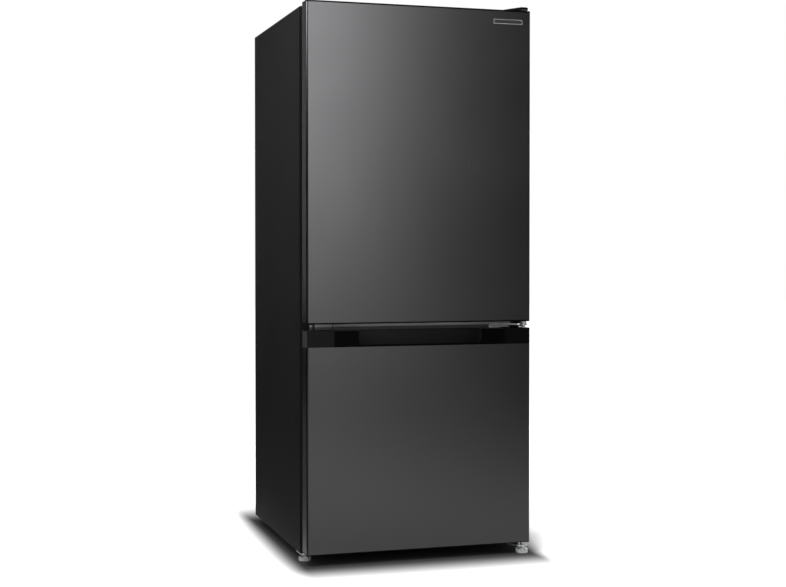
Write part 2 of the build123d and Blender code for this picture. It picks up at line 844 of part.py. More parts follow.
# Filter drier standing at the left of the bay, tapered at both ends.
drier_x = -half_width + 85
drier_y = bay_front + 60
drier_bottom = tray_level + 70
drier_length = 95
pipe_radius = 3
with BuildPart() as filter_drier:
    with BuildSketch(Plane.XZ.offset(-drier_y)) as drier_profile:
        with BuildLine():
            Polyline(
                (drier_x, drier_bottom - 12),
                (drier_x + pipe_radius + 1, drier_bottom - 12),
                (drier_x + pipe_radius + 1, drier_bottom - 6),
                (drier_x + 9, drier_bottom + 6),
                (drier_x + 9, drier_bottom + drier_length - 6),
                (drier_x + pipe_radius + 1, drier_bottom + drier_length + 6),
                (drier_x + pipe_radius + 1, drier_bottom + drier_length + 12),
                (drier_x, drier_bottom + drier_length + 12),
                close=True,
            )
        make_face()
    revolve(axis=Axis((drier_x, drier_y, 0), (0, 0, 1)))
save(filter_drier, "filter_drier")

# Copper pipes: hot gas from the can to the wall, and the drier's two ends.
outlet_y = -40  # from the can's middle
outlet_share = (abs(outlet_y) - pipe_radius) / can_half_width
outlet_x = compressor_x - can_half_length * sqrt(1 - outlet_share**2) - slide_gap
pipe_routes = (
    (
        (outlet_x, compressor_y + outlet_y, seam_level - 10),
        (relay_x - 60, compressor_y + outlet_y, seam_level - 10),
        (relay_x - 60, compressor_y + outlet_y - 30, seam_level - 10),
        (relay_x - 60, compressor_y + outlet_y - 30, bay_top),
    ),
    (
        (drier_x, drier_y, drier_bottom + drier_length + 12),
        (drier_x, drier_y, drier_bottom + drier_length + 30),
        (drier_x + 70, drier_y, drier_bottom + drier_length + 30),
        (drier_x + 70, drier_y - 20, bay_top - 22),
        (drier_x + 70, drier_y - 20, bay_top),
    ),
    (
        (drier_x, drier_y, drier_bottom - 12),
        (drier_x, drier_y, drier_bottom - 34),
        (drier_x - 50, drier_y, drier_bottom - 34),
        (drier_x - 50, drier_y, drier_bottom + 60),
        (-half_width + wrap_sheet, drier_y, drier_bottom + 60),
    ),
)
with BuildPart() as refrigerant_pipes:
    for route in pipe_routes:
        with BuildLine() as pipe_line:
            FilletPolyline(*route, radius=7)
        with BuildSketch(Plane(origin=pipe_line.line @ 0, z_dir=pipe_line.line % 0)) as pipe_section:
            Circle(pipe_radius)
        sweep(path=pipe_line.line)
save(refrigerant_pipes, "refrigerant_pipes")

# Rear roller forks under the tray, each with its axle.
roller_y = back - roller_from_back
fork_gap = 1.5
fork_length = 26
with BuildPart() as roller_brackets:
    for side in (-1, 1):
        roller_x = side * (half_width - roller_from_side)
        fork_half = roller_width / 2 + fork_gap + tray_sheet
        with BuildSketch(Plane.YZ.offset(roller_x - fork_half)) as cheek:
            with BuildLine():
                Polyline(
                    (roller_y - fork_length / 2, tray_level),
                    (roller_y - 8, roller_radius - 6),
                    (roller_y + 8, roller_radius - 6),
                    (roller_y + fork_length / 2, tray_level),
                    close=True,
                )
            make_face()
            fillet(cheek.vertices().group_by(Axis.Y)[0], 5)
        extrude(amount=tray_sheet)
        extrude(cheek.sketch.moved(Location((2 * fork_half - tray_sheet, 0, 0))), amount=tray_sheet)
        block(
            (roller_x - fork_half, roller_x + fork_half),
            (roller_y - fork_length / 2, roller_y + fork_length / 2),
            (tray_level - tray_sheet, tray_level),
        )
        with BuildSketch(Plane.YZ.offset(roller_x - fork_half - 1)) as axle:
            with Locations((roller_y, roller_radius)):
                Circle(axle_radius)
        extrude(amount=2 * fork_half + 2)
save(roller_brackets, "roller_brackets")

for name, side in (("rear_roller_left", -1), ("rear_roller_right", 1)):
    roller_x = side * (half_width - roller_from_side)
    with BuildPart() as roller:
        with BuildSketch(Plane.YZ.offset(roller_x - roller_width / 2)) as wheel:
            with Locations((roller_y, roller_radius)):
                Circle(roller_radius)
                Circle(axle_radius + pin_fit, mode=Mode.SUBTRACT)
        extrude(amount=roller_width)
        rims = roller.edges().filter_by(GeomType.CIRCLE).group_by(SortBy.RADIUS)[-1]
        fillet(rims, 1.5)
    save(roller, name)

# ======== hinges and levelling feet ========

plate_level = cabinet_bottom - bracket_plate
left_foot_x = -half_width + foot_from_side
left_foot_y = face + foot_behind_face
right_foot_x = half_width - foot_from_side
right_foot_y = front + foot_from_side
nut_height = 3.5


def foot_nut(x, y):
    # weld nut under a bracket plate
    with BuildSketch(Plane.XY.offset(plate_level - nut_height)) as hexagon:
        with Locations((x, y)):
            RegularPolygon(7.5, 6)
            Circle(foot_stem_radius + pin_fit, mode=Mode.SUBTRACT)
    extrude(hexagon.sketch, amount=nut_height)


# Plate under the left front corner that takes the foot.
with BuildPart() as left_foot_bracket:
    with BuildSketch(Plane.XY.offset(plate_level)) as left_plate:
        with Locations((-half_width + 28, face + 20)):
            RectangleRounded(54, 54, 6)
        with Locations((left_foot_x, left_foot_y)):
            Circle(foot_stem_radius + 1, mode=Mode.SUBTRACT)
    extrude(amount=bracket_plate)
    foot_nut(left_foot_x, left_foot_y)
save(left_foot_bracket, "left_foot_bracket")

# Bottom hinge: plate under the cabinet that reaches under the door, pin and foot nut.
collar_radius = 8
plate_inner = half_width - 62
plate_outer = half_width - 2
plate_rear = face + 46
with BuildPart() as bottom_hinge:
    with BuildSketch(Plane.XY.offset(plate_level)) as hinge_plate:
        with BuildLine():
            Polyline(
                (plate_inner, plate_rear),
                (plate_inner, face),
                (half_width - 30, front + 6),
                (plate_outer, front + 6),
                (plate_outer, plate_rear),
                close=True,
            )
        make_face()
        fillet(hinge_plate.vertices().group_by(Axis.Y)[0], 6)
    extrude(amount=bracket_plate)
    post(hinge_x, hinge_y, (cabinet_bottom, doors_bottom - slide_gap), collar_radius)
    post(hinge_x, hinge_y, (cabinet_bottom, doors_bottom + pin_reach), pin_radius)
    fillet(bottom_hinge.edges().group_by(Axis.Z)[-1], 1.5)
    foot_nut(right_foot_x, right_foot_y)
save(bottom_hinge, "bottom_hinge")

# Middle hinge: plate in the gap between the doors, with a pin up and a pin down.
plate_half = 2
with BuildPart() as middle_hinge:
    with BuildSketch(Plane.XY.offset(hinge_level - plate_half)) as middle_plate:
        with BuildLine():
            Polyline(
                (hinge_flange_inner, face),
                (hinge_flange_inner, face - 10),
                (hinge_x - 16, hinge_y + 2),
                (half_width - 2, hinge_y - 2),
                (half_width - 2, face - 24),
                (hinge_flange_outer, face - 8),
                (hinge_flange_outer, face),
                close=True,
            )
        make_face()
        with Locations((hinge_x, hinge_y)):
            Circle(collar_radius + 2)
    extrude(amount=2 * plate_half)
    with BuildSketch(upright(face)) as middle_flange:
        area(
            (hinge_flange_inner, hinge_flange_outer),
            (hinge_level - hinge_flange_half_height, hinge_level + hinge_flange_half_height),
            radius=3,
        )
    extrude(amount=bracket_plate)
    post(hinge_x, hinge_y, (hinge_level, upper_door_bottom - slide_gap), collar_radius)
    pin_ends = (freezer_door_top - pin_reach, upper_door_bottom + pin_reach)
    post(hinge_x, hinge_y, pin_ends, pin_radius)
    tips = middle_hinge.edges().filter_by(GeomType.CIRCLE).sort_by(Axis.Z)
    fillet(ShapeList([tips[0], tips[-1]]), 1.5)
save(middle_hinge, "middle_hinge")

# Top hinge: cranked plate on the cabinet roof with the pin down into the upper door.
crank = 5
top_plate_back = face + 58
with BuildPart() as top_hinge:
    with BuildSketch(Plane.YZ.offset(half_width - 54)) as crank_section:
        with BuildLine():
            Polyline(
                (top_plate_back, cabinet_top),
                (face + 14, cabinet_top),
                (face, cabinet_top + crank),
                (hinge_y - 12, cabinet_top + crank),
            )
            offset(amount=bracket_plate, side=Side.RIGHT)
        make_face()
    extrude(amount=48)
    with BuildSketch(Plane.XY.offset(cabinet_top)) as crank_trim:
        with BuildLine():
            Polyline(
                (half_width - 60, face - 4),
                (half_width - 60, hinge_y - 20),
                (hinge_x - 12, hinge_y - 20),
                (hinge_x - 12, hinge_y + 6),
                close=True,
            )
        make_face()
    extrude(amount=crank + bracket_plate, mode=Mode.SUBTRACT)
    post(hinge_x, hinge_y, (doors_top - pin_reach, cabinet_top + crank + bracket_plate), pin_radius)
    fillet(top_hinge.edges().group_by(Axis.Z)[0], 1.5)
save(top_hinge, "top_hinge")

# Black plastic cover over the top hinge, rounded at its nose.
cap_height = 14
cap_rounding = 3.5  # round the edge of its top
cap_half = 33
cap_x = half_width - 3 - cap_half
cap_nose = front + 4
cap_back = face + 72
cap_radius = 8
cap_side = 2.5  # wall of the skirt round the hinge plate
with BuildPart() as top_hinge_cover:
    with BuildSketch(Plane.XY.offset(cabinet_top + crank + bracket_plate + slide_gap)) as cap_plan:
        with BuildLine():
            Polyline(
                (cap_x - cap_half, cap_back),
                (cap_x - cap_half, face + 4),
                (hinge_x - 13, cap_nose),
                (cap_x + cap_half, cap_nose),
                (cap_x + cap_half, cap_back),
                close=True,
            )
        make_face()
        fillet(cap_plan.vertices(), cap_radius)
    extrude(amount=cap_height - crank - bracket_plate - slide_gap)
    fillet(top_hinge_cover.faces().sort_by(Axis.Z)[-1].edges(), cap_rounding)
    with BuildSketch(Plane.XY.offset(cabinet_top)) as cap_skirt:
        with Locations((cap_x, (face + 8 + cap_back) / 2)):
            RectangleRounded(2 * cap_half, cap_back - face - 8, cap_radius)
        with Locations((cap_x, (face + 2 + cap_back) / 2)):
            Rectangle(2 * (cap_half - cap_side), cap_back - face - 8, mode=Mode.SUBTRACT)
    extrude(amount=crank + bracket_plate + slide_gap + 3)
save(top_hinge_cover, "top_hinge_cover")

# Screws of the three hinges: two in the middle one, three in the top, two in the bottom.
head_radius = 5
head_height = 2.4
with BuildPart() as hinge_screws:
    for x in (hinge_flange_inner + 12, hinge_flange_inner + 32):
        with BuildSketch(upright(face - bracket_plate)) as pan_head:
            with Locations((x, hinge_level + 7.5)):
                Circle(head_radius)
        extrude(amount=head_height)
    for x, y in ((half_width - 44, face + 26), (half_width - 20, face + 26), (half_width - 32, face + 46)):
        post(x, y, (cabinet_top + bracket_plate, cabinet_top + bracket_plate + head_height), head_radius)
    for x in (half_width - 48, half_width - 20):
        post(x, face + 28, (plate_level - head_height, plate_level), head_radius)
save(hinge_screws, "hinge_screws")

for name, x, y, stem_top in (
    ("levelling_foot_left", left_foot_x, left_foot_y, cabinet_bottom - 0.5),
    ("levelling_foot_right", right_foot_x, right_foot_y, plate_level - 0.3),
):
    with BuildPart() as levelling_foot:
        with BuildSketch() as wheel_plan:
            with Locations((x, y)):
                Circle(foot_radius)
                with PolarLocations(foot_radius + 0.4, 18):
                    Circle(1.5, mode=Mode.SUBTRACT)
        extrude(amount=foot_wheel)
        post(x, y, (foot_wheel, foot_wheel + foot_collar), foot_collar_radius)
        post(x, y, (foot_wheel + foot_collar, stem_top), foot_stem_radius)
    save(levelling_foot, name)

# ======== doors ========


def door_layer(inset, depth, z, mode=Mode.ADD):
    # slab with the door's plan and its rounded corners
    with BuildSketch(Plane.XY.offset(z[0])) as plan:
        with Locations((0, front + (inset + depth) / 2)):
            Rectangle(cabinet_width - 2 * inset, depth - inset)
        if door_edge_radius - inset > 0.2:
            fillet(plan.vertices(), door_edge_radius - inset)
    extrude(plan.sketch, amount=z[1] - z[0], mode=mode)


def hinge_hole(tip, into):
    # holes for the hinge pin at both ends of a cap, so the door can hang either way
    reach = pin_reach + 1
    z = (tip, tip + reach) if into > 0 else (tip - reach, tip)
    for side in (-1, 1):
        post(side * hinge_x, hinge_y, z, pin_radius + pin_fit, mode=Mode.SUBTRACT)


def end_cap(edge, into):
    # moulded cap that closes one end of a door, a tray with two hinge bosses
    lip_end = edge + into * cap_lip
    plug_end = edge + into * (cap_lip + cap_plug)
    door_layer(0, door_skin_depth, sorted((edge, lip_end)))
    door_layer(door_sheet, door_skin_depth - door_sheet, sorted((lip_end, plug_end)))
    door_layer(
        door_sheet + cap_wall,
        door_skin_depth - door_sheet - cap_wall,
        sorted((lip_end, plug_end)),
        mode=Mode.SUBTRACT,
    )
    for side in (-1, 1):
        post(side * hinge_x, hinge_y, sorted((lip_end, edge + into * boss_height)), boss_radius)
    hinge_hole(edge, into)


def door_skin(z):
    # steel sheet folded round the front and both sides
    with BuildSketch(Plane.XY.offset(z[0])) as fold:
        with BuildLine():
            FilletPolyline(
                (-half_width + door_return, front + door_skin_depth),
                (-half_width, front + door_skin_depth),
                (-half_width, front),
                (half_width, front),
                (half_width, front + door_skin_depth),
                (half_width - door_return, front + door_skin_depth),
                radius=door_edge_radius,
            )
            offset(amount=door_sheet, side=Side.LEFT)
        make_face()
    extrude(fold.sketch, amount=z[1] - z[0])


def gasket(z):
    # magnetic seal round the back of a door: foot, narrow bellows and magnet pocket
    outer = half_width - gasket_inset
    depth = door_setback - gasket_to_face - door_skin_depth - panel_rise
    steps = ((panel_back, 0, 3), (panel_back + 3, 4, depth - 10), (panel_back + depth - 7, 0, 7))
    for start, narrow, length in steps:
        with BuildSketch(upright(start)) as ring:
            area(
                (-outer + narrow, outer - narrow),
                (z[0] + gasket_inset + narrow, z[1] - gasket_inset - narrow),
                radius=6,
            )
            area(
                (-outer + gasket_width - narrow, outer - gasket_width + narrow),
                (z[0] + gasket_inset + gasket_width - narrow, z[1] - gasket_inset - gasket_width + narrow),
                radius=3,
                mode=Mode.SUBTRACT,
            )
        extrude(ring.sketch, amount=-length)


# ---- refrigerator door ----
skin_ends = (upper_door_bottom + cap_lip, doors_top - cap_lip)
with BuildPart() as upper_door_skin:
    door_skin(skin_ends)
save(upper_door_skin, "upper_door_skin")

with BuildPart() as upper_door_top_cap:
    end_cap(doors_top, -1)
save(upper_door_top_cap, "upper_door_top_cap")

with BuildPart() as upper_door_bottom_cap:
    end_cap(upper_door_bottom, 1)
save(upper_door_bottom_cap, "upper_door_bottom_cap")


def door_foam(z):
    # foam between skin, caps and inner panel
    inside = door_sheet + cap_wall
    plug_end = cap_lip + cap_plug
    door_layer(door_sheet, door_skin_depth - door_sheet, (z[0] + plug_end, z[1] - plug_end))
    door_layer(inside, door_skin_depth - inside, (z[0] + cap_lip, z[1] - cap_lip))
    for side in (-1, 1):
        for ends in ((z[0], z[0] + boss_height), (z[1] - boss_height, z[1])):
            post(side * hinge_x, hinge_y, ends, boss_radius, mode=Mode.SUBTRACT)


with BuildPart() as upper_door_foam:
    door_foam((upper_door_bottom, doors_top))
save(upper_door_foam, "upper_door_foam")

dyke_half = fridge_half - dyke_inset
dyke_bottom = fridge_floor + dyke_inset
dyke_top = fridge_ceiling - dyke_inset
bin_half = dyke_half - dyke_width - bin_half_gap
bin_back = front + door_skin_depth + panel_wall + slide_gap
first_bin = dyke_bottom + dyke_width + bin_rise
bin_pitch = (dyke_top - dyke_width - first_bin) / len(bin_heights)
bin_levels = [first_bin + i * bin_pitch for i in range(len(bin_heights))]


def inner_panel(z, recess_x, recess_z, recess_radius):
    # moulded plastic panel on the back of a door, thinned inside its ridge or border
    with BuildSketch(upright(front + door_skin_depth)) as sheet:
        edge = half_width - gasket_inset
        area((-edge, edge), (z[0] + gasket_inset, z[1] - gasket_inset), radius=8)
    extrude(sheet.sketch, amount=-panel_rise)
    with BuildSketch(upright(front + door_skin_depth + panel_wall)) as recess:
        area(recess_x, recess_z, radius=recess_radius)
    extrude(recess.sketch, amount=panel_wall - panel_rise, mode=Mode.SUBTRACT)


with BuildPart() as upper_door_inner_panel:
    inside_half = dyke_half - dyke_width
    inside_z = (dyke_bottom + dyke_width, dyke_top - dyke_width)
    inner_panel((upper_door_bottom, doors_top), (-inside_half, inside_half), inside_z, 12)
    with BuildSketch(upright(panel_back)) as dyke_ring:
        area((-dyke_half, dyke_half), (dyke_bottom, dyke_top), radius=18)
        area((-inside_half, inside_half), inside_z, radius=12, mode=Mode.SUBTRACT)
    extrude(amount=panel_back - face - dyke_depth)
    fillet(upper_door_inner_panel.faces().sort_by(Axis.Y)[-1].edges(), 6)
    for level, height in zip(bin_levels, bin_heights):
        for side in (-1, 1):
            inner = side * (inside_half - bin_half_gap + slide_gap)
            block(
                sorted((inner, side * (inside_half + 1))),
                (panel_back + 6, panel_back + 26),
                (level + height * 0.45, level + height * 0.8),
            )
save(upper_door_inner_panel, "upper_door_inner_panel")

with BuildPart() as upper_door_gasket:
    gasket((upper_door_bottom, doors_top))
save(upper_door_gasket, "upper_door_gasket")

for name, level, height, depth in zip(
    ("door_bin_bottom", "door_bin_middle", "door_bin_top"), bin_levels, bin_heights, bin_depths
):
    with BuildPart() as door_bin:
        tray(bin_half, (bin_back, bin_back + depth), (level, level + height), bin_wall, 12, 0.8)
        with BuildSketch(Plane.XY.offset(level + height - 8)) as rim:
            with Locations((0, bin_back + depth / 2)):
                RectangleRounded(2 * bin_half, depth, 12)
                RectangleRounded(2 * bin_half - 7, depth - 7, 9, mode=Mode.SUBTRACT)
        extrude(amount=8)
    save(door_bin, name)

# ---- freezer door ----
band_bottom = freezer_door_top - handle_band
pocket_half = pocket_width / 2
pocket_floor = band_bottom - pocket_floor_drop
pocket_back = front + pocket_depth
notch_sill = band_bottom + 5  # lower edge of the opening in the front of the band

with BuildPart() as freezer_door_skin:
    door_skin((doors_bottom + cap_lip, band_bottom))
save(freezer_door_skin, "freezer_door_skin")

with BuildPart() as freezer_door_bottom_cap:
    end_cap(doors_bottom, 1)
save(freezer_door_bottom_cap, "freezer_door_bottom_cap")


def pocket_tub(grow):
    # finger scoop behind the band's front, rounded along its floor, back and ends
    tub_front = front + pocket_lip - grow
    with BuildPart() as tub:
        with BuildSketch(Plane.YZ) as scoop:
            area((tub_front, pocket_back + grow), (pocket_floor - grow, freezer_door_top))
            back_corner = scoop.vertices().group_by(Axis.Y)[0].sort_by(Axis.X)[-1]
            fillet(back_corner, scoop_radius + grow)
        extrude(amount=pocket_half + grow, both=True)
        ends = tub.faces().filter_by(Axis.X).edges()
        front_edges = ends.filter_by_position(Axis.Y, tub_front - 0.1, tub_front + 0.1)
        top_edges = ends.group_by(Axis.Z)[-1]
        fillet(ends - front_edges - top_edges, pocket_corner + grow)
    return tub.part


pocket_inside = pocket_tub(0)
pocket_outside = pocket_tub(pocket_wall)

# Gloss black band: hollow top trim with the scooped finger pocket and hinge bosses.
with BuildPart() as freezer_door_handle_cap:
    door_layer(0, door_skin_depth, (band_bottom, freezer_door_top))
    door_layer(
        pocket_wall,
        door_skin_depth - pocket_wall,
        (band_bottom, freezer_door_top - pocket_wall),
        mode=Mode.SUBTRACT,
    )
    door_layer(door_sheet, door_skin_depth - door_sheet, (band_bottom - cap_plug, band_bottom))
    door_layer(
        pocket_wall,
        door_skin_depth - pocket_wall,
        (band_bottom - cap_plug, band_bottom),
        mode=Mode.SUBTRACT,
    )
    for side in (-1, 1):
        post(side * hinge_x, hinge_y, (freezer_door_top - boss_height, freezer_door_top), boss_radius)
    add(pocket_outside)
    add(pocket_inside, mode=Mode.SUBTRACT)
    with BuildSketch(upright(front - 1)) as notch:
        area((-pocket_half, pocket_half), (notch_sill, freezer_door_top + pocket_corner))
        fillet(notch.vertices().group_by(Axis.Y)[0], pocket_corner)
    extrude(amount=-(pocket_lip + 2), mode=Mode.SUBTRACT)
    hinge_hole(freezer_door_top, -1)
save(freezer_door_handle_cap, "freezer_door_handle_cap")

with BuildPart() as freezer_door_foam:
    door_layer(
        door_sheet + cap_wall,
        door_skin_depth - door_sheet - cap_wall,
        (doors_bottom + cap_lip, freezer_door_top - pocket_wall),
    )
    door_layer(
        door_sheet,
        door_skin_depth - door_sheet,
        (doors_bottom + cap_lip + cap_plug, band_bottom - cap_plug),
    )
    add(pocket_outside, mode=Mode.SUBTRACT)
    for side in (-1, 1):
        for boss_bottom in (doors_bottom, freezer_door_top - boss_height):
            boss_ends = (boss_bottom, boss_bottom + boss_height)
            post(side * hinge_x, hinge_y, boss_ends, boss_radius, mode=Mode.SUBTRACT)
save(freezer_door_foam, "freezer_door_foam")

with BuildPart() as freezer_door_inner_panel:
    border = gasket_inset + gasket_width + 30
    inner_panel(
        (doors_bottom, freezer_door_top),
        (-half_width + border, half_width - border),
        (doors_bottom + border, freezer_door_top - border),
        16,
    )
save(freezer_door_inner_panel, "freezer_door_inner_panel")

with BuildPart() as freezer_door_gasket:
    gasket((doors_bottom, freezer_door_top))
save(freezer_door_gasket, "freezer_door_gasket")
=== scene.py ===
import bpy
import bmesh
import json
import math
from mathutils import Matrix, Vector


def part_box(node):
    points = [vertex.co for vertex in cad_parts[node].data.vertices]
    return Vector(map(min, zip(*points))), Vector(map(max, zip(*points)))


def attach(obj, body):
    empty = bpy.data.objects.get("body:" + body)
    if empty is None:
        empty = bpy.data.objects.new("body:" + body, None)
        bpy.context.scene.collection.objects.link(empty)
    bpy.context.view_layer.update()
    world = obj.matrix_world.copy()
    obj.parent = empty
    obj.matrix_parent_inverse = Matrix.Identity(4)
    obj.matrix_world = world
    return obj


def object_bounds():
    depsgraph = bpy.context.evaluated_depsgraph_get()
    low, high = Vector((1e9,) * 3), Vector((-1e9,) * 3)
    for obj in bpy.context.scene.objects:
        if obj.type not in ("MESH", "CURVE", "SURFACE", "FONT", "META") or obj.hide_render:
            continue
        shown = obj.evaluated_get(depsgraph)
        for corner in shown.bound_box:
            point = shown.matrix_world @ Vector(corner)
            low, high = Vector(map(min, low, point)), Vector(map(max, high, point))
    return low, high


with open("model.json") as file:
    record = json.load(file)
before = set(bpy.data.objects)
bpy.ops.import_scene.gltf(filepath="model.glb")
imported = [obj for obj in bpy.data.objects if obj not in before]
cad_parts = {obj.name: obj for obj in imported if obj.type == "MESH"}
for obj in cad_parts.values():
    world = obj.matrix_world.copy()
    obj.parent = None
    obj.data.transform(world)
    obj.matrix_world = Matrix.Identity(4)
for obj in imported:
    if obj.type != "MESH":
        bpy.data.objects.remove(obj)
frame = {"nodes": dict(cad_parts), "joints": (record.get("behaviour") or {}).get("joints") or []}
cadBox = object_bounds()
nodes = frame["nodes"]
scene = bpy.context.scene
print("frame loaded with", len(nodes), "nodes")

# Small helpers for shader trees


def newFinish(name, **settings):
    # settings are values that are the same all over the surface
    mat = bpy.data.materials.new(name)
    mat.use_nodes = True
    shader = mat.node_tree.nodes["Principled BSDF"]
    for key, value in settings.items():
        shader.inputs[key.replace("_", " ")].default_value = value
    return mat, mat.node_tree, shader


def newStageMaterial(name):
    mat = bpy.data.materials.new(name)
    mat.use_nodes = True
    mat.node_tree.nodes.clear()
    return mat, mat.node_tree


def addNode(tree, kind, **inputs):
    node = tree.nodes.new(kind)
    for key, value in inputs.items():
        socket = node.inputs[key.replace("_", " ")]
        if isinstance(value, bpy.types.NodeSocket):
            tree.links.new(value, socket)
        else:
            socket.default_value = value
    return node


def place(tree, stretch=(1, 1, 1)):
    # rest-frame coordinates in metres, stretched along the axes
    coords = addNode(tree, "ShaderNodeTexCoord").outputs["Object"]
    return addNode(tree, "ShaderNodeMapping", Vector=coords, Scale=stretch).outputs[0]


def axesOf(tree, where):
    return addNode(tree, "ShaderNodeSeparateXYZ", Vector=where).outputs


def noise(tree, where, scale, detail=3, roughness=0.5, distortion=0.0):
    node = addNode(tree, "ShaderNodeTexNoise", Vector=where, Scale=scale, Detail=detail)
    node.inputs["Roughness"].default_value = roughness
    node.inputs["Distortion"].default_value = distortion
    return node.outputs["Fac"]


def spread(tree, value, low, high, fromLow=0.3, fromHigh=0.7):
    # a value moved from one range into another, by default from the one where most noise lies
    node = addNode(tree, "ShaderNodeMapRange", Value=value)
    node.inputs["From Min"].default_value = fromLow
    node.inputs["From Max"].default_value = fromHigh
    node.inputs["To Min"].default_value = low
    node.inputs["To Max"].default_value = high
    return node.outputs["Result"]


def ramp(tree, value, stops):
    node = addNode(tree, "ShaderNodeValToRGB", Fac=value)
    band = node.color_ramp
    while len(band.elements) < len(stops):
        band.elements.new(0.5)
    for element, (at, colour) in zip(band.elements, stops):
        element.position = at
        element.color = (*colour, 1)
    return node.outputs["Color"]


def bump(tree, height, distance, strength):
    node = addNode(tree, "ShaderNodeBump", Height=height, Distance=distance, Strength=strength)
    return node.outputs["Normal"]


def math2(tree, operation, a, b=0):
    node = tree.nodes.new("ShaderNodeMath")
    node.operation = operation
    for socket, value in zip(node.inputs, (a, b)):
        if isinstance(value, bpy.types.NodeSocket):
            tree.links.new(value, socket)
        else:
            socket.default_value = value
    return node.outputs[0]


def times(tree, a, b):
    return math2(tree, "MULTIPLY", a, b)


def plus(tree, a, b):
    return math2(tree, "ADD", a, b)


def minus(tree, a, b):
    return math2(tree, "SUBTRACT", a, b)


def dimmed(tree, colour, share):
    node = addNode(tree, "ShaderNodeVectorMath", Vector=colour)
    node.operation = "SCALE"
    tree.links.new(share, node.inputs["Scale"])
    return node.outputs["Vector"]


def mixShaders(tree, share, first, second):
    node = addNode(tree, "ShaderNodeMixShader", Fac=share)
    tree.links.new(first.outputs[0], node.inputs[1])
    tree.links.new(second.outputs[0], node.inputs[2])
    return node


def wire(tree, shader, tone, rough, normal):
    for name, value in (("Base Color", tone), ("Roughness", rough), ("Normal", normal)):
        tree.links.new(value, shader.inputs[name])


def shade(colour, factor):
    return tuple(channel * factor for channel in colour)


# Finishes of the sheet metal

doorSteel = {
    "colour": (0.074, 0.074, 0.076),
    "lineDepth": 0.014,  # light and dark of the brushing
    "relief": 0.000004,
    "roughness": (0.25, 0.256),
    "lineScale": 420,  # brush lines across a metre
    "lineStretch": 0.004,
    "smudge": 0.02,
    "smudgeScale": 3.2,
    "capShadeStrip": 0.0019,  # painted shade: black strip on the upper door's skin where it meets its end caps, standing for the shade in the gap there
    "capShadeLevel": 0.02,
}


def brushedDoorSteel():
    mat, tree, shader = newFinish("darkBrushedSteel", Metallic=1.0)
    along = place(tree, (1, 1, doorSteel["lineStretch"]))
    fine = noise(tree, along, doorSteel["lineScale"], 4, 0.65)
    broad = noise(tree, along, doorSteel["lineScale"] / 9, 3, 0.6)
    lines = spread(tree, plus(tree, times(tree, fine, 0.7), times(tree, broad, 0.3)), 0, 1, 0.38, 0.62)
    dark, light = [shade(doorSteel["colour"], 1 + way * doorSteel["lineDepth"]) for way in (-1, 1)]
    tone = ramp(tree, lines, ((0, dark), (1, light)))
    # painted shade: the skin goes black in a strip along its top and bottom end caps
    height = axesOf(tree, place(tree))["Z"]
    low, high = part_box("upper_door_skin")
    capShadeStrip = doorSteel["capShadeStrip"]
    above = math2(tree, "GREATER_THAN", height, high.z - capShadeStrip)
    below = math2(tree, "COMPARE", height, low.z + capShadeStrip / 2)
    below.node.inputs[2].default_value = capShadeStrip / 2
    ends = spread(tree, math2(tree, "MAXIMUM", above, below), 1, doorSteel["capShadeLevel"], 0, 1)
    smudge = doorSteel["smudge"]
    cloud = spread(tree, noise(tree, place(tree), doorSteel["smudgeScale"], 2), -smudge, smudge)
    rough = plus(tree, spread(tree, fine, *doorSteel["roughness"]), cloud)
    wire(tree, shader, dimmed(tree, tone, ends), rough, bump(tree, fine, doorSteel["relief"], 0.1))
    return mat


cabinetPaint = {
    "colour": (0.0105, 0.0106, 0.011),
    "mottle": (0.88, 1.14),
    "mottleScale": 5.5,
    "roughness": (0.5, 0.6),
    "grainScale": 900,
    "grainDepth": 0.00006,
}


def cabinetPaintFinish():
    mat, tree, shader = newFinish("texturedCabinetPaint", Specular_IOR_Level=0.12)
    where = place(tree)
    grain = noise(tree, where, cabinetPaint["grainScale"], 3, 0.55)
    dark, light = [shade(cabinetPaint["colour"], factor) for factor in cabinetPaint["mottle"]]
    cloud = noise(tree, where, cabinetPaint["mottleScale"], 3)
    tone = ramp(tree, cloud, ((0.3, dark), (0.7, light)))
    rough = spread(tree, grain, *cabinetPaint["roughness"])
    wire(tree, shader, tone, rough, bump(tree, grain, cabinetPaint["grainDepth"], 0.6))
    return mat


smoothPaint = {"peelScale": 260, "peelDepth": 0.00003, "cloudScale": 14, "mottle": (0.92, 1.08)}


def paintedSteel(name, colour, roughness):
    # smooth paint with a little orange peel
    mat, tree, shader = newFinish(name)
    where = place(tree)
    peel = bump(tree, noise(tree, where, smoothPaint["peelScale"], 2), smoothPaint["peelDepth"], 0.5)
    cloud = noise(tree, where, smoothPaint["cloudScale"], 3)
    dark, light = [shade(colour, factor) for factor in smoothPaint["mottle"]]
    rough = spread(tree, cloud, roughness - 0.04, roughness + 0.05)
    wire(tree, shader, ramp(tree, cloud, ((0.3, dark), (0.7, light))), rough, peel)
    return mat


rail = {
    # painted light on the upper strip and painted shade on the lower one
    "upper": 0.62,
    "lower": 0.1,
    "blank": 1.12,  # the blanking cover is this much lighter
    "split": 0.0068,  # where painted light above meets painted shade below, this far above the lower door's top
    "blend": 0.0015,
    "seams": (0.0068, 0.0022),  # dark ends of the blanking cover, left and right
    "seamShades": (0.06, 0.03),
    "seamBlend": 0.0005,
    "roughness": (0.36, 0.44),
}


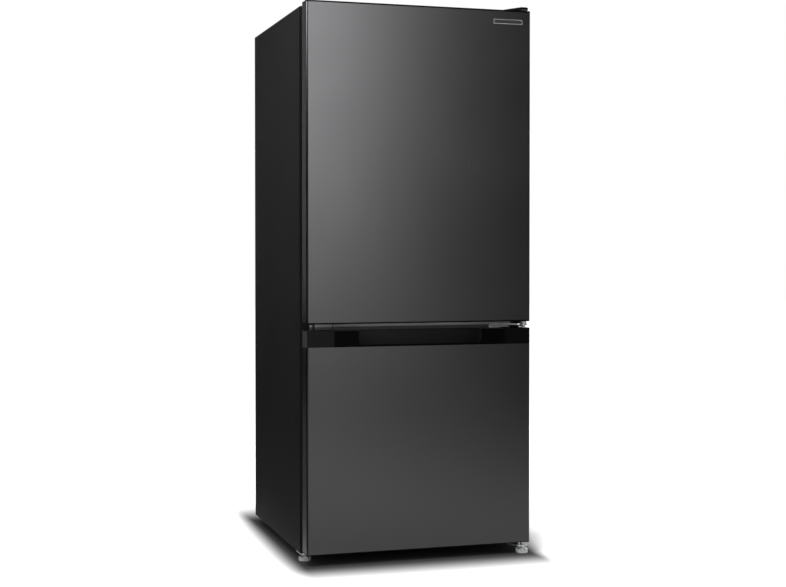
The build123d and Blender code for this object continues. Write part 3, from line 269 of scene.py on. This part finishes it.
def railFinish(name, share, ends=None):
    # pale upper strip with painted light and dark lower strip with painted shade from the lower door's
    # top, on what shows between the doors
    mat, tree, shader = newFinish(name)
    where = place(tree)
    cloud = noise(tree, where, 30, 3)
    across, _, height = axesOf(tree, where)
    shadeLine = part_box("freezer_door_handle_cap")[1].z + rail["split"]
    levels = (rail["lower"] * share, rail["upper"] * share)
    # painted light above the line, painted shade below it
    tone = spread(tree, height, *levels, shadeLine - rail["blend"], shadeLine + rail["blend"])
    if ends:
        low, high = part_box(ends)
        left, right = low.x + rail["seams"][0], high.x - rail["seams"][1]
        darkLeft, darkRight = rail["seamShades"]
        tone = times(tree, tone, spread(tree, across, darkLeft, 1, left - rail["seamBlend"], left))
        tone = times(tree, tone, spread(tree, across, 1, darkRight, right, right + rail["seamBlend"]))
    tone = times(tree, tone, spread(tree, cloud, 0.93, 1.07))
    rough = spread(tree, cloud, *rail["roughness"])
    wire(tree, shader, tone, rough, bump(tree, noise(tree, where, 500, 2), 0.00003, 0.5))
    return mat


galvanising = {
    "spangleScale": 150.0,
    "grainScale": 420,
    "grainDepth": 0.00004,
    "tones": ((0.1, (0.43, 0.44, 0.45)), (0.6, (0.47, 0.48, 0.49)), (1.0, (0.51, 0.52, 0.53))),
    "roughness": (0.4, 0.5),
}


def galvanisedSteel():
    mat, tree, shader = newFinish("galvanisedSteel", Metallic=0.9)
    where = place(tree)
    cells = addNode(tree, "ShaderNodeTexVoronoi", Vector=where, Scale=galvanising["spangleScale"])
    grain = noise(tree, where, galvanising["grainScale"], 4, 0.6)
    spangle = plus(tree, cells.outputs["Color"], times(tree, grain, 0.4))
    rough = spread(tree, spangle, *galvanising["roughness"], 0.1, 1.2)
    relief = bump(tree, grain, galvanising["grainDepth"], 0.4)
    wire(tree, shader, ramp(tree, spangle, galvanising["tones"]), rough, relief)
    return mat


plating = {"tint": (0.98, 0.99, 1.0), "mottle": (0.86, 1.14), "dragScale": 700, "dragDepth": 0.00002}


def zincPlate(name, level, roughness):
    # plating with faint drag marks
    mat, tree, shader = newFinish(name, Metallic=1.0)
    cloud = noise(tree, place(tree), 60, 4, 0.6)
    drag = noise(tree, place(tree, (1, 0.15, 1)), plating["dragScale"], 3)
    dark, light = [shade(plating["tint"], level * factor) for factor in plating["mottle"]]
    tone = ramp(tree, cloud, ((0.3, dark), (0.7, light)))
    rough = spread(tree, drag, roughness, roughness + 0.14)
    wire(tree, shader, tone, rough, bump(tree, drag, plating["dragDepth"], 0.4))
    return mat


copper = {
    "tones": ((0.3, (0.26, 0.1, 0.055)), (0.5, (0.62, 0.27, 0.16)), (0.72, (0.78, 0.4, 0.26))),
    "roughness": (0.42, 0.24),
    "cloudScale": 28,
}


def copperTube():
    # drawn copper, dull where it has been brazed and handled
    mat, tree, shader = newFinish("copperTube", Metallic=1.0)
    where = place(tree)
    cloud = noise(tree, where, copper["cloudScale"], 4, 0.6, 0.4)
    rough = spread(tree, cloud, *copper["roughness"])
    relief = bump(tree, noise(tree, where, 900, 2), 0.00002, 0.4)
    wire(tree, shader, ramp(tree, cloud, copper["tones"]), rough, relief)
    return mat


aluminium = {"dark": (0.62, 0.63, 0.64), "light": (0.8, 0.81, 0.82), "roughness": (0.3, 0.45)}


def finAluminium():
    mat, tree, shader = newFinish("finAluminium", Metallic=1.0)
    cloud = noise(tree, place(tree), 90, 4, 0.6)
    tone = ramp(tree, cloud, ((0.3, aluminium["dark"]), (0.7, aluminium["light"])))
    tree.links.new(tone, shader.inputs["Base Color"])
    tree.links.new(spread(tree, cloud, *aluminium["roughness"]), shader.inputs["Roughness"])
    return mat


# Finishes of the plastics, rubber and glass


def mouldedPlastic(name, colour, roughness, grain=700, depth=0.00003, specular=0.5, variation=0.05):
    # moulded part with a fine spark-eroded grain and slight flow marks
    mat, tree, shader = newFinish(name, Specular_IOR_Level=specular)
    where = place(tree)
    fine = noise(tree, where, grain, 3, 0.55)
    flow = noise(tree, where, 9, 3, 0.5, 0.6)
    dark, light = shade(colour, 1 - variation), shade(colour, 1 + variation)
    grainRough = spread(tree, fine, roughness - 0.03, roughness + 0.03)
    rough = plus(tree, spread(tree, flow, -0.03, 0.03), grainRough)
    tone = ramp(tree, flow, ((0.3, dark), (0.7, light)))
    wire(tree, shader, tone, rough, bump(tree, fine, depth, 0.5))
    return mat


handleBand = {
    "gloss": 0.0013,
    "ends": (0.0085, 0.0026),  # left and right: painted light, lighter at the left and darker at the right
    "pocket": (0.03, 0.012),
    "sides": (0.035, 0.035),
    "between": (-0.2, 0.2),  # where the left and right values are reached; the fall between them is painted light
    "endWidth": 0.071,  # satin corner pieces of the band
    "sideDepth": 0.0012,  # outermost strip at each side
    "pocketReach": 0.17,  # half the width that counts as pocket
    "pocketFrom": 0.003,  # behind the front
    "glossRoughness": 0.16,
    "mattRoughness": 0.42,
}


def handleBandFinish():
    # gloss black middle, satin black ends and pocket, greyer at the door's sides; the ends and pocket
    # carry painted light, lighter at the left
    mat, tree, shader = newFinish("glossBlackBand", Specular_IOR_Level=0.015)
    low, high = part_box("freezer_door_handle_cap")
    where = place(tree)
    across, deep, _ = axesOf(tree, where)
    fromMiddle = math2(tree, "ABSOLUTE", across)
    end = math2(tree, "GREATER_THAN", fromMiddle, high.x - handleBand["endWidth"])
    side = math2(tree, "GREATER_THAN", fromMiddle, high.x - handleBand["sideDepth"])
    near = math2(tree, "LESS_THAN", fromMiddle, handleBand["pocketReach"])
    inside = times(tree, near, math2(tree, "GREATER_THAN", deep, low.y + handleBand["pocketFrom"]))
    dust = noise(tree, where, 420, 4, 0.7)
    tone = handleBand["gloss"]
    for mask, levels in ((end, "ends"), (inside, "pocket"), (side, "sides")):
        # painted light: the level of the ends and the pocket falls from left to right
        level = spread(tree, across, *handleBand[levels], *handleBand["between"])
        tone = plus(tree, times(tree, mask, level), times(tree, minus(tree, 1, mask), tone))
    tone = times(tree, tone, spread(tree, dust, 0.94, 1.06))
    base = spread(tree, end, handleBand["glossRoughness"], handleBand["mattRoughness"], 0, 1)
    rough = plus(tree, base, spread(tree, dust, -0.03, 0.05))
    wire(tree, shader, tone, rough, bump(tree, noise(tree, where, 170, 2), 0.00003, 0.3))
    return mat


liner = {
    "dark": (0.72, 0.73, 0.73),
    "light": (0.73, 0.74, 0.74),
    "roughness": (0.3, 0.33),
    "rimShade": 0.015,
    "rimBlend": 0.0005,
    "rimInside": 0.004,  # the painted shade on the rim starts this far under the seal
}


def linerPlastic(name, paintedShadeFrom=None):
    # vacuum-formed glossy sheet; painted shade, black, where a door's rim stands out past its seal
    mat, tree, shader = newFinish(name)
    where = place(tree)
    wave = noise(tree, where, 6, 3, 0.5, 0.3)
    tone = ramp(tree, wave, ((0.3, liner["dark"]), (0.7, liner["light"])))
    if paintedShadeFrom:
        fromMiddle = math2(tree, "ABSOLUTE", axesOf(tree, where)["X"])
        rim = spread(tree, fromMiddle, 1, liner["rimShade"], paintedShadeFrom, paintedShadeFrom + liner["rimBlend"])
        tone = dimmed(tree, tone, rim)
    rough = spread(tree, wave, *liner["roughness"])
    wire(tree, shader, tone, rough, bump(tree, noise(tree, where, 650, 2), 0.00003, 0.4))
    return mat


def passLight(tree, shader, share):
    # lamps shine through the glass instead of being blocked by it
    path = addNode(tree, "ShaderNodeLightPath")
    clear = addNode(tree, "ShaderNodeBsdfTransparent", Color=(share, share, share, 1))
    mix = mixShaders(tree, path.outputs["Is Shadow Ray"], shader, clear)
    tree.links.new(mix.outputs[0], tree.nodes["Material Output"].inputs["Surface"])


clearTray = {"tint": (0.95, 0.97, 0.98), "roughness": 0.07, "haze": 0.0003, "passes": 0.82}


def clearPlastic():
    # clear tray with moulding haze and fine scratches
    mat, tree, shader = newFinish("clearTray", Transmission_Weight=0.94, IOR=1.35)
    haze = noise(tree, place(tree), 11, 3, 0.5, 0.5)
    scratch = noise(tree, place(tree, (1, 0.04, 1)), 900, 2)
    tone = ramp(tree, haze, ((0.3, shade(clearTray["tint"], 0.95)), (0.7, clearTray["tint"])))
    hazeRough = spread(tree, haze, clearTray["roughness"], clearTray["roughness"] + 0.06)
    rough = plus(tree, spread(tree, scratch, -0.02, 0.03), hazeRough)
    wire(tree, shader, tone, rough, bump(tree, haze, clearTray["haze"], 0.25))
    passLight(tree, shader, clearTray["passes"])
    return mat


shelfGlass = {
    "dark": (0.8, 0.9, 0.87),
    "light": (0.86, 0.94, 0.92),
    "smear": (0.01, 0.06),
    "passes": 0.88,
}


def shelfGlassFinish():
    # toughened glass, green where light runs along it
    mat, tree, shader = newFinish("shelfGlass", Transmission_Weight=1.0, IOR=1.52)
    smear = noise(tree, place(tree), 7, 4, 0.6, 0.7)
    tone = ramp(tree, smear, ((0.3, shelfGlass["dark"]), (0.7, shelfGlass["light"])))
    tree.links.new(tone, shader.inputs["Base Color"])
    tree.links.new(spread(tree, smear, *shelfGlass["smear"]), shader.inputs["Roughness"])
    passLight(tree, shader, shelfGlass["passes"])
    return mat


rubberLook = {"mottle": (0.85, 1.25), "roughness": (0.55, 0.72), "bloomScale": 45}


def rubber(name, colour):
    mat, tree, shader = newFinish(name, Specular_IOR_Level=0.35)
    where = place(tree)
    bloom = noise(tree, where, rubberLook["bloomScale"], 4, 0.6)
    dark, light = [shade(colour, factor) for factor in rubberLook["mottle"]]
    tone = ramp(tree, bloom, ((0.3, dark), (0.75, light)))
    rough = spread(tree, bloom, *rubberLook["roughness"])
    wire(tree, shader, tone, rough, bump(tree, noise(tree, where, 1100, 2), 0.00003, 0.5))
    return mat


foam = {"dark": (0.62, 0.5, 0.26), "light": (0.72, 0.6, 0.34), "cellScale": 600.0, "cellDepth": 0.0004}


def foamFinish():
    mat, tree, shader = newFinish("rigidFoam", Roughness=0.85)
    where = place(tree)
    cells = addNode(tree, "ShaderNodeTexVoronoi", Vector=where, Scale=foam["cellScale"])
    tone = ramp(tree, noise(tree, where, 20, 4), ((0.3, foam["dark"]), (0.7, foam["light"])))
    tree.links.new(tone, shader.inputs["Base Color"])
    relief = bump(tree, cells.outputs["Distance"], foam["cellDepth"], 0.6)
    tree.links.new(relief, shader.inputs["Normal"])
    return mat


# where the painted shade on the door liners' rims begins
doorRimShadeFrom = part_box("upper_door_gasket")[1].x - liner["rimInside"]
finishes = {
    "cabinetPaint": cabinetPaintFinish(),
    "doorSteel": brushedDoorSteel(),
    "zinc": zincPlate("zincPlatedSteel", 0.6, 0.24),
    # the top hinge: zinc plating set dark, at 0.07 of its brightness
    "darkHinge": zincPlate("darkZincHinge", 0.07, 0.35),
    "capBlack": mouldedPlastic("doorCapBlack", (0.0025, 0.0025, 0.0026), 0.5, specular=0.04),
    "galvanised": galvanisedSteel(),
    # the rail and the blanking cover get painted light on their upper strip and painted shade on their
    # lower one
    "railPaint": railFinish("railPaint", 1),
    "compressorPaint": paintedSteel("compressorPaint", (0.011, 0.011, 0.012), 0.3),
    "copper": copperTube(),
    "aluminium": finAluminium(),
    "band": handleBandFinish(),
    "blackPlastic": mouldedPlastic("mattBlackPlastic", (0.011, 0.011, 0.0115), 0.46, specular=0.3),
    "greyPlastic": railFinish("blankPlastic", rail["blank"], "rail_blank_cover"),
    "whitePlastic": mouldedPlastic("whitePlastic", (0.76, 0.77, 0.77), 0.36, variation=0.02),
    "lampPlastic": mouldedPlastic(
        "lampDiffuser", (0.82, 0.82, 0.79), 0.3, grain=500, depth=0.00006, variation=0.02
    ),
    "liner": linerPlastic("linerWhite"),
    "doorLiner": linerPlastic("doorLinerWhite", doorRimShadeFrom),
    "clear": clearPlastic(),
    "glass": shelfGlassFinish(),
    "gasket": rubber("doorSealRubber", (0.012, 0.012, 0.013)),
    "grommet": rubber("grommetRubber", (0.02, 0.02, 0.02)),
    "foam": foamFinish(),
}

# Which node takes which finish
nodeFinishes = {
    "cabinetPaint": ["outer_wrap"],
    "doorSteel": ["upper_door_skin", "freezer_door_skin"],
    "zinc": [
        "bottom_hinge", "middle_hinge", "hinge_screws", "left_foot_bracket", "levelling_foot_left",
        "levelling_foot_right", "roller_brackets",
    ],
    "darkHinge": ["top_hinge"],
    "capBlack": [
        "upper_door_top_cap", "upper_door_bottom_cap", "freezer_door_bottom_cap", "top_hinge_cover",
    ],
    "galvanised": ["back_panel", "bottom_panel", "compressor_base"],
    "railPaint": ["centre_rail"],
    "compressorPaint": ["compressor"],
    "copper": ["filter_drier", "refrigerant_pipes"],
    "aluminium": ["evaporator"],
    "band": ["freezer_door_handle_cap"],
    "blackPlastic": [
        "relay_cover", "fan_motor", "evaporator_fan", "rear_roller_left", "rear_roller_right",
    ],
    "greyPlastic": ["rail_blank_cover"],
    "whitePlastic": [
        "control_housing", "temperature_knob", "light_switch_plunger", "fridge_duct", "shelf_trims",
        "evaporator_cover", "drawer_runners", "drain_pan",
    ],
    "lampPlastic": ["lamp_cover"],
    "liner": ["fridge_liner", "freezer_liner"],
    "doorLiner": ["upper_door_inner_panel", "freezer_door_inner_panel"],
    "clear": [
        "crisper_drawer", "freezer_drawer_bottom", "freezer_drawer_middle", "freezer_drawer_top",
        "door_bin_bottom", "door_bin_middle", "door_bin_top",
    ],
    "glass": ["glass_shelf_1", "glass_shelf_2", "glass_shelf_3", "crisper_cover"],
    "gasket": ["upper_door_gasket", "freezer_door_gasket"],
    "grommet": ["compressor_grommets"],
    "foam": ["insulation_foam", "upper_door_foam", "freezer_door_foam"],
}
for finish, names in nodeFinishes.items():
    for name in names:
        slots = nodes[name].data.materials
        slots.clear()
        slots.append(finishes[finish])
bare = set(nodes) - {name for names in nodeFinishes.values() for name in names}
print("finishes assigned, nodes left bare:", sorted(bare))

# Helpers for meshes


def outline(across, up):
    # the four corners of a rectangle, in order
    return [(across[0], up[0]), (across[1], up[0]), (across[1], up[1]), (across[0], up[1])]


def joinRings(mesh, rings):
    # side faces between rings that have as many points
    for a, b in zip(rings, rings[1:]):
        for i in range(len(a)):
            j = (i + 1) % len(a)
            mesh.faces.new((a[i], a[j], b[j], b[i]))


def newObject(name, mesh):
    data = bpy.data.meshes.new(name)
    mesh.to_mesh(data)
    mesh.free()
    piece = bpy.data.objects.new(name, data)
    scene.collection.objects.link(piece)
    return piece


def meshPiece(name, mesh, materials, body):
    mesh.normal_update()
    piece = newObject(name, mesh)
    for mat in materials:
        piece.data.materials.append(mat)
    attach(piece, body)
    return piece


# Badge place on the upper door: a bare plate with a raised rim
badge = {
    "fromRight": 0.0235,
    "belowTop": 0.0245,
    "size": (0.079, 0.0115),
    "proud": 0.0005,
    "rim": 0.0009,
    "rimColour": (0.4, 0.4, 0.41),
    "faceColour": (0.028, 0.028, 0.029),
}


def makeBadge():
    low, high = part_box("upper_door_skin")
    width, height = badge["size"]
    right = high.x - badge["fromRight"]
    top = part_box("upper_door_top_cap")[1].z - badge["belowTop"]
    left, bottom = right - width, top - height
    rim, proud = badge["rim"], badge["proud"]
    outer = outline((left, right), (bottom, top))
    inner = outline((left + rim, right - rim), (bottom + rim, top - rim))
    levels = ((outer, 0), (outer, proud), (inner, proud), (inner, proud * 0.5))
    mesh = bmesh.new()
    rings = [[mesh.verts.new((x, low.y - rise, z)) for x, z in ring] for ring, rise in levels]
    joinRings(mesh, rings)
    face = mesh.faces.new(rings[-1])
    face.material_index = 1
    mesh.faces.new(list(reversed(rings[0])))
    bmesh.ops.recalc_face_normals(mesh, faces=mesh.faces)
    rimPaint = paintedSteel("badgeRim", badge["rimColour"], 0.35)
    facePaint = mouldedPlastic("badgeFace", badge["faceColour"], 0.45, specular=0.1)
    meshPiece("badgePlate", mesh, [rimPaint, facePaint], "upper_door")


makeBadge()

# Plugs in the unused hinge holes at the left ends of the doors
plug = {
    "radius": 0.0078,
    "height": 0.0022,
    "sides": 32,
    "steps": ((1.0, 0.0), (1.0, 0.45), (0.86, 0.85), (0.5, 1.0)),  # shares of the radius and height
}


def makePlug(name, centre, up, body):
    mesh = bmesh.new()
    rings = []
    for share, rise in plug["steps"]:
        radius = plug["radius"] * share
        lift = up * rise * plug["height"]
        ring = []
        for i in range(plug["sides"]):
            turn = 2 * math.pi * i / plug["sides"]
            offset = Vector((math.cos(turn) * radius, math.sin(turn) * radius, lift))
            ring.append(mesh.verts.new(centre + offset))
        rings.append(ring)
    joinRings(mesh, rings)
    mesh.faces.new(rings[0])
    mesh.faces.new(rings[-1])
    bmesh.ops.recalc_face_normals(mesh, faces=mesh.faces)
    piece = meshPiece(name, mesh, [finishes["blackPlastic"]], body)
    for face in piece.data.polygons:
        face.use_smooth = len(face.vertices) == 4


hinge = next(j for j in frame["joints"] if j["name"] == "upper_door_swing")["pos_m"]
for name, cap, body, up in (
    ("plugUpperDoorTop", "upper_door_top_cap", "upper_door", 1),
    ("plugUpperDoorBottom", "upper_door_bottom_cap", "upper_door", -1),
    ("plugFreezerDoorTop", "freezer_door_handle_cap", "freezer_door", 1),
    ("plugFreezerDoorBottom", "freezer_door_bottom_cap", "freezer_door", -1),
):
    low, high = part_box(cap)
    makePlug(name, Vector((-hinge[0], hinge[1], high.z if up > 0 else low.z)), up, body)

# Black tab on the middle hinge: a dark sheet that stands for the shade past its pin, closing the view
# there
shadeTab = {"x": (0.276, 0.2995), "y": (-0.2635, -0.2605), "clear": 0.0006, "bevel": 0.0006}


def makeShadeTab():
    mesh = bmesh.new()
    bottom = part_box("freezer_door_handle_cap")[1].z + shadeTab["clear"]
    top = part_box("upper_door_bottom_cap")[0].z - shadeTab["clear"]
    spans = (shadeTab["x"], shadeTab["y"], (bottom, top))
    bmesh.ops.create_cube(mesh, size=1)
    for corner in mesh.verts:
        share = corner.co + Vector((0.5, 0.5, 0.5))
        corner.co = Vector([low + part * (high - low) for part, (low, high) in zip(share, spans)])
    bmesh.ops.bevel(mesh, geom=mesh.edges[:], offset=shadeTab["bevel"], segments=2, affect="EDGES")
    meshPiece("middleHingeShadeTab", mesh, [finishes["capBlack"]], "cabinet")


makeShadeTab()
print("badge, plugs and tab made")

# Floor: pale, with the object's own shadow and a painted shadow round the base; the camera sees it
# lighter, darkest at the base
floorLook = {
    "size": 30,
    "colour": 0.8,
    "seen": 1.75,
    "paintedShadowShare": 0.03,  # painted shadow: share left right under the base
    # below: two values, then the two places that they are for, with a blend between
    # how far out the painted shadow fades
    "left": (0.1, 0.066, -0.3, 0.3),  # at the front and at the back
    "right": (0.062, 0.16, -0.34, -0.1),
    "depth": (0.25, 0.34, -0.2, 0.2),  # forwards and backwards
    # colour for reflections, beside the left wall and in front: painted shade that only reflections
    # see
    "reflectedShade": (0.1, 0.66, -0.45, -0.28),
    "reflectedShadeSlope": (0.3, -0.45, 0.1, 1.2),  # painted shade in reflections, added further in front, from left to right
    "slopeShare": (1, 0, -1.8, -0.8),
}


def paintedShadowFade(tree, x, y):
    # painted shadow: from 0 under the base to 1 where it ends
    left = spread(tree, y, *floorLook["left"])
    right = spread(tree, y, *floorLook["right"])
    onRight = math2(tree, "GREATER_THAN", x, 0)
    sideways = plus(tree, left, times(tree, onRight, minus(tree, right, left)))
    depth = spread(tree, y, *floorLook["depth"])
    squares = []
    for along, reach, half in ((x, sideways, cadBox[1][0]), (y, depth, cadBox[1][1])):
        past = math2(tree, "MAXIMUM", minus(tree, math2(tree, "ABSOLUTE", along), half), 0)
        share = math2(tree, "DIVIDE", past, reach)
        squares.append(times(tree, share, share))
    return math2(tree, "SQRT", plus(tree, *squares))


def makeFloor():
    mat, tree = newStageMaterial("paleFloor")
    x, y, _ = axesOf(tree, place(tree))
    tone = addNode(tree, "ShaderNodeMapRange", Value=paintedShadowFade(tree, x, y))
    tone.interpolation_type = "SMOOTHSTEP"
    tone.inputs["To Min"].default_value = floorLook["seen"] * floorLook["paintedShadowShare"]
    tone.inputs["To Max"].default_value = floorLook["seen"]
    far = spread(tree, y, *floorLook["slopeShare"])
    reflectedShadeSlope = times(tree, far, spread(tree, x, *floorLook["reflectedShadeSlope"]))
    reflectedShade = plus(tree, spread(tree, x, *floorLook["reflectedShade"]), reflectedShadeSlope)
    seen = addNode(tree, "ShaderNodeBsdfDiffuse", Color=tone.outputs["Result"])
    plain = addNode(tree, "ShaderNodeBsdfDiffuse", Color=(floorLook["colour"],) * 3 + (1,))
    # painted shade for glossy rays: the floor's colour in reflections changes with place
    gloss = addNode(tree, "ShaderNodeBsdfDiffuse", Color=reflectedShade)
    path = addNode(tree, "ShaderNodeLightPath")
    indirect = mixShaders(tree, path.outputs["Is Glossy Ray"], plain, gloss)
    mix = mixShaders(tree, path.outputs["Is Camera Ray"], indirect, seen)
    addNode(tree, "ShaderNodeOutputMaterial", Surface=mix.outputs[0])
    mesh = bmesh.new()
    span = (-floorLook["size"] / 2, floorLook["size"] / 2)
    mesh.faces.new([mesh.verts.new((*corner, 0)) for corner in outline(span, span)])
    floor = newObject("floor", mesh)
    floor.data.materials.append(mat)


makeFloor()

# World: plain white to look at and in reflections, softer as a lamp
worldLook = {"lamp": 0.62}


def makeWorld():
    world = bpy.data.worlds.new("studio")
    world.use_nodes = True
    tree = world.node_tree
    background = tree.nodes["Background"]
    path = addNode(tree, "ShaderNodeLightPath")
    direct = math2(tree, "MAXIMUM", path.outputs["Is Camera Ray"], path.outputs["Is Glossy Ray"])
    direct = math2(tree, "MAXIMUM", direct, path.outputs["Is Transmission Ray"])
    strength = spread(tree, direct, worldLook["lamp"], 1.0, 0, 1)
    background.inputs["Color"].default_value = (1, 1, 1, 1)
    tree.links.new(strength, background.inputs["Strength"])
    scene.world = world


makeWorld()

# Lamps: a large soft box above and one low fill from the left
lamps = {
    "top": {"at": (-0.6, -1.2, 3.4), "to": (0, 0, 0.6), "size": (2.8, 2.4), "power": 95},
    "fill": {"at": (-3.4, -2.6, 1.7), "to": (0, 0, 0.7), "size": (1.8, 2.2), "power": 24},
}
for name, lamp in lamps.items():
    data = bpy.data.lights.new(name, "AREA")
    data.shape = "RECTANGLE"
    data.size, data.size_y = lamp["size"]
    data.energy = lamp["power"]
    light = bpy.data.objects.new(name, data)
    light.location = lamp["at"]
    aim = Vector(lamp["to"]) - Vector(lamp["at"])
    light.rotation_euler = aim.to_track_quat("-Z", "Y").to_euler()
    light.visible_glossy = False
    scene.collection.objects.link(light)

# Cards that only reflections see: a graded one in front, a dark one by the left side, and a
# bright one for the line down the door's left corner
cards = {
    "front": {
        "across": "X",
        "span": (-6.0, 14.0),
        "at": -4.3,
        "z": (0.02, 14.0),
        # each patch: its middle and its spread, across and up, and its strength
        "patches": (
            ((0.51, 2.25), (0.45, 1.5), 7.4),
            ((0.95, 0.9), (0.36, 0.6), 0.3),
            ((1.3, 0.3), (0.34, 0.4), 0.55),
        ),
        "base": 0.055,
    },
    "side": {
        "across": "Y",
        "span": (-0.8, 6.5),
        "at": -1.25,
        "z": (0.02, 5.0),
        "patches": (((5.6, 2.6), (1.0, 1.8), 0.33),),
        "base": 0.008,
    },
    "edge": {
        "across": "Y",
        "span": (-1.0, 0.1),
        "at": -1.2,
        "z": (1.15, 2.2),
        "patches": (((-0.45, 1.75), (0.6, 0.25), 16.0),),
        "base": 0.0,
    },
}


def makeCard(name, look):
    # one face that glows in soft round patches
    mat, tree = newStageMaterial(name + "Light")
    split = axesOf(tree, place(tree))
    strength = look["base"]
    for middles, widths, peak in look["patches"]:
        squares = []
        for axis, middle, width in zip((look["across"], "Z"), middles, widths):
            share = math2(tree, "DIVIDE", minus(tree, split[axis], middle), width)
            squares.append(times(tree, share, share))
        fade = math2(tree, "EXPONENT", times(tree, plus(tree, *squares), -1))
        strength = plus(tree, times(tree, fade, peak), strength)
    emit = addNode(tree, "ShaderNodeEmission", Strength=strength)
    addNode(tree, "ShaderNodeOutputMaterial", Surface=emit.outputs[0])
    mesh = bmesh.new()
    corners = [
        (a, look["at"], z) if look["across"] == "X" else (look["at"], a, z)
        for a, z in outline(look["span"], look["z"])
    ]
    mesh.faces.new([mesh.verts.new(corner) for corner in corners])
    card = newObject(name, mesh)
    card.data.materials.append(mat)
    card.visible_camera = False
    card.visible_diffuse = False
    card.visible_shadow = False
    card.visible_transmission = False


for name, look in cards.items():
    makeCard(name + "Card", look)
print("floor, world, lamps and cards made")

# Camera at the photograph's angle
view = {
    "at": (-1.1377, -3.7723, 0.7954),
    "yaw": 17.1,  # degrees to the right of straight ahead
    "pitch": -1.0,
    "lens": 65.269,
    "shift": -0.0243,
}
camera = bpy.data.objects.new("camera", bpy.data.cameras.new("camera"))
camera.data.sensor_width = 36
camera.data.lens = view["lens"]
camera.data.shift_y = view["shift"]
camera.location = view["at"]
camera.rotation_euler = (math.radians(90 + view["pitch"]), 0, math.radians(-view["yaw"]))
scene.collection.objects.link(camera)
scene.camera = camera
scene.view_settings.view_transform = "Standard"
print("camera set")
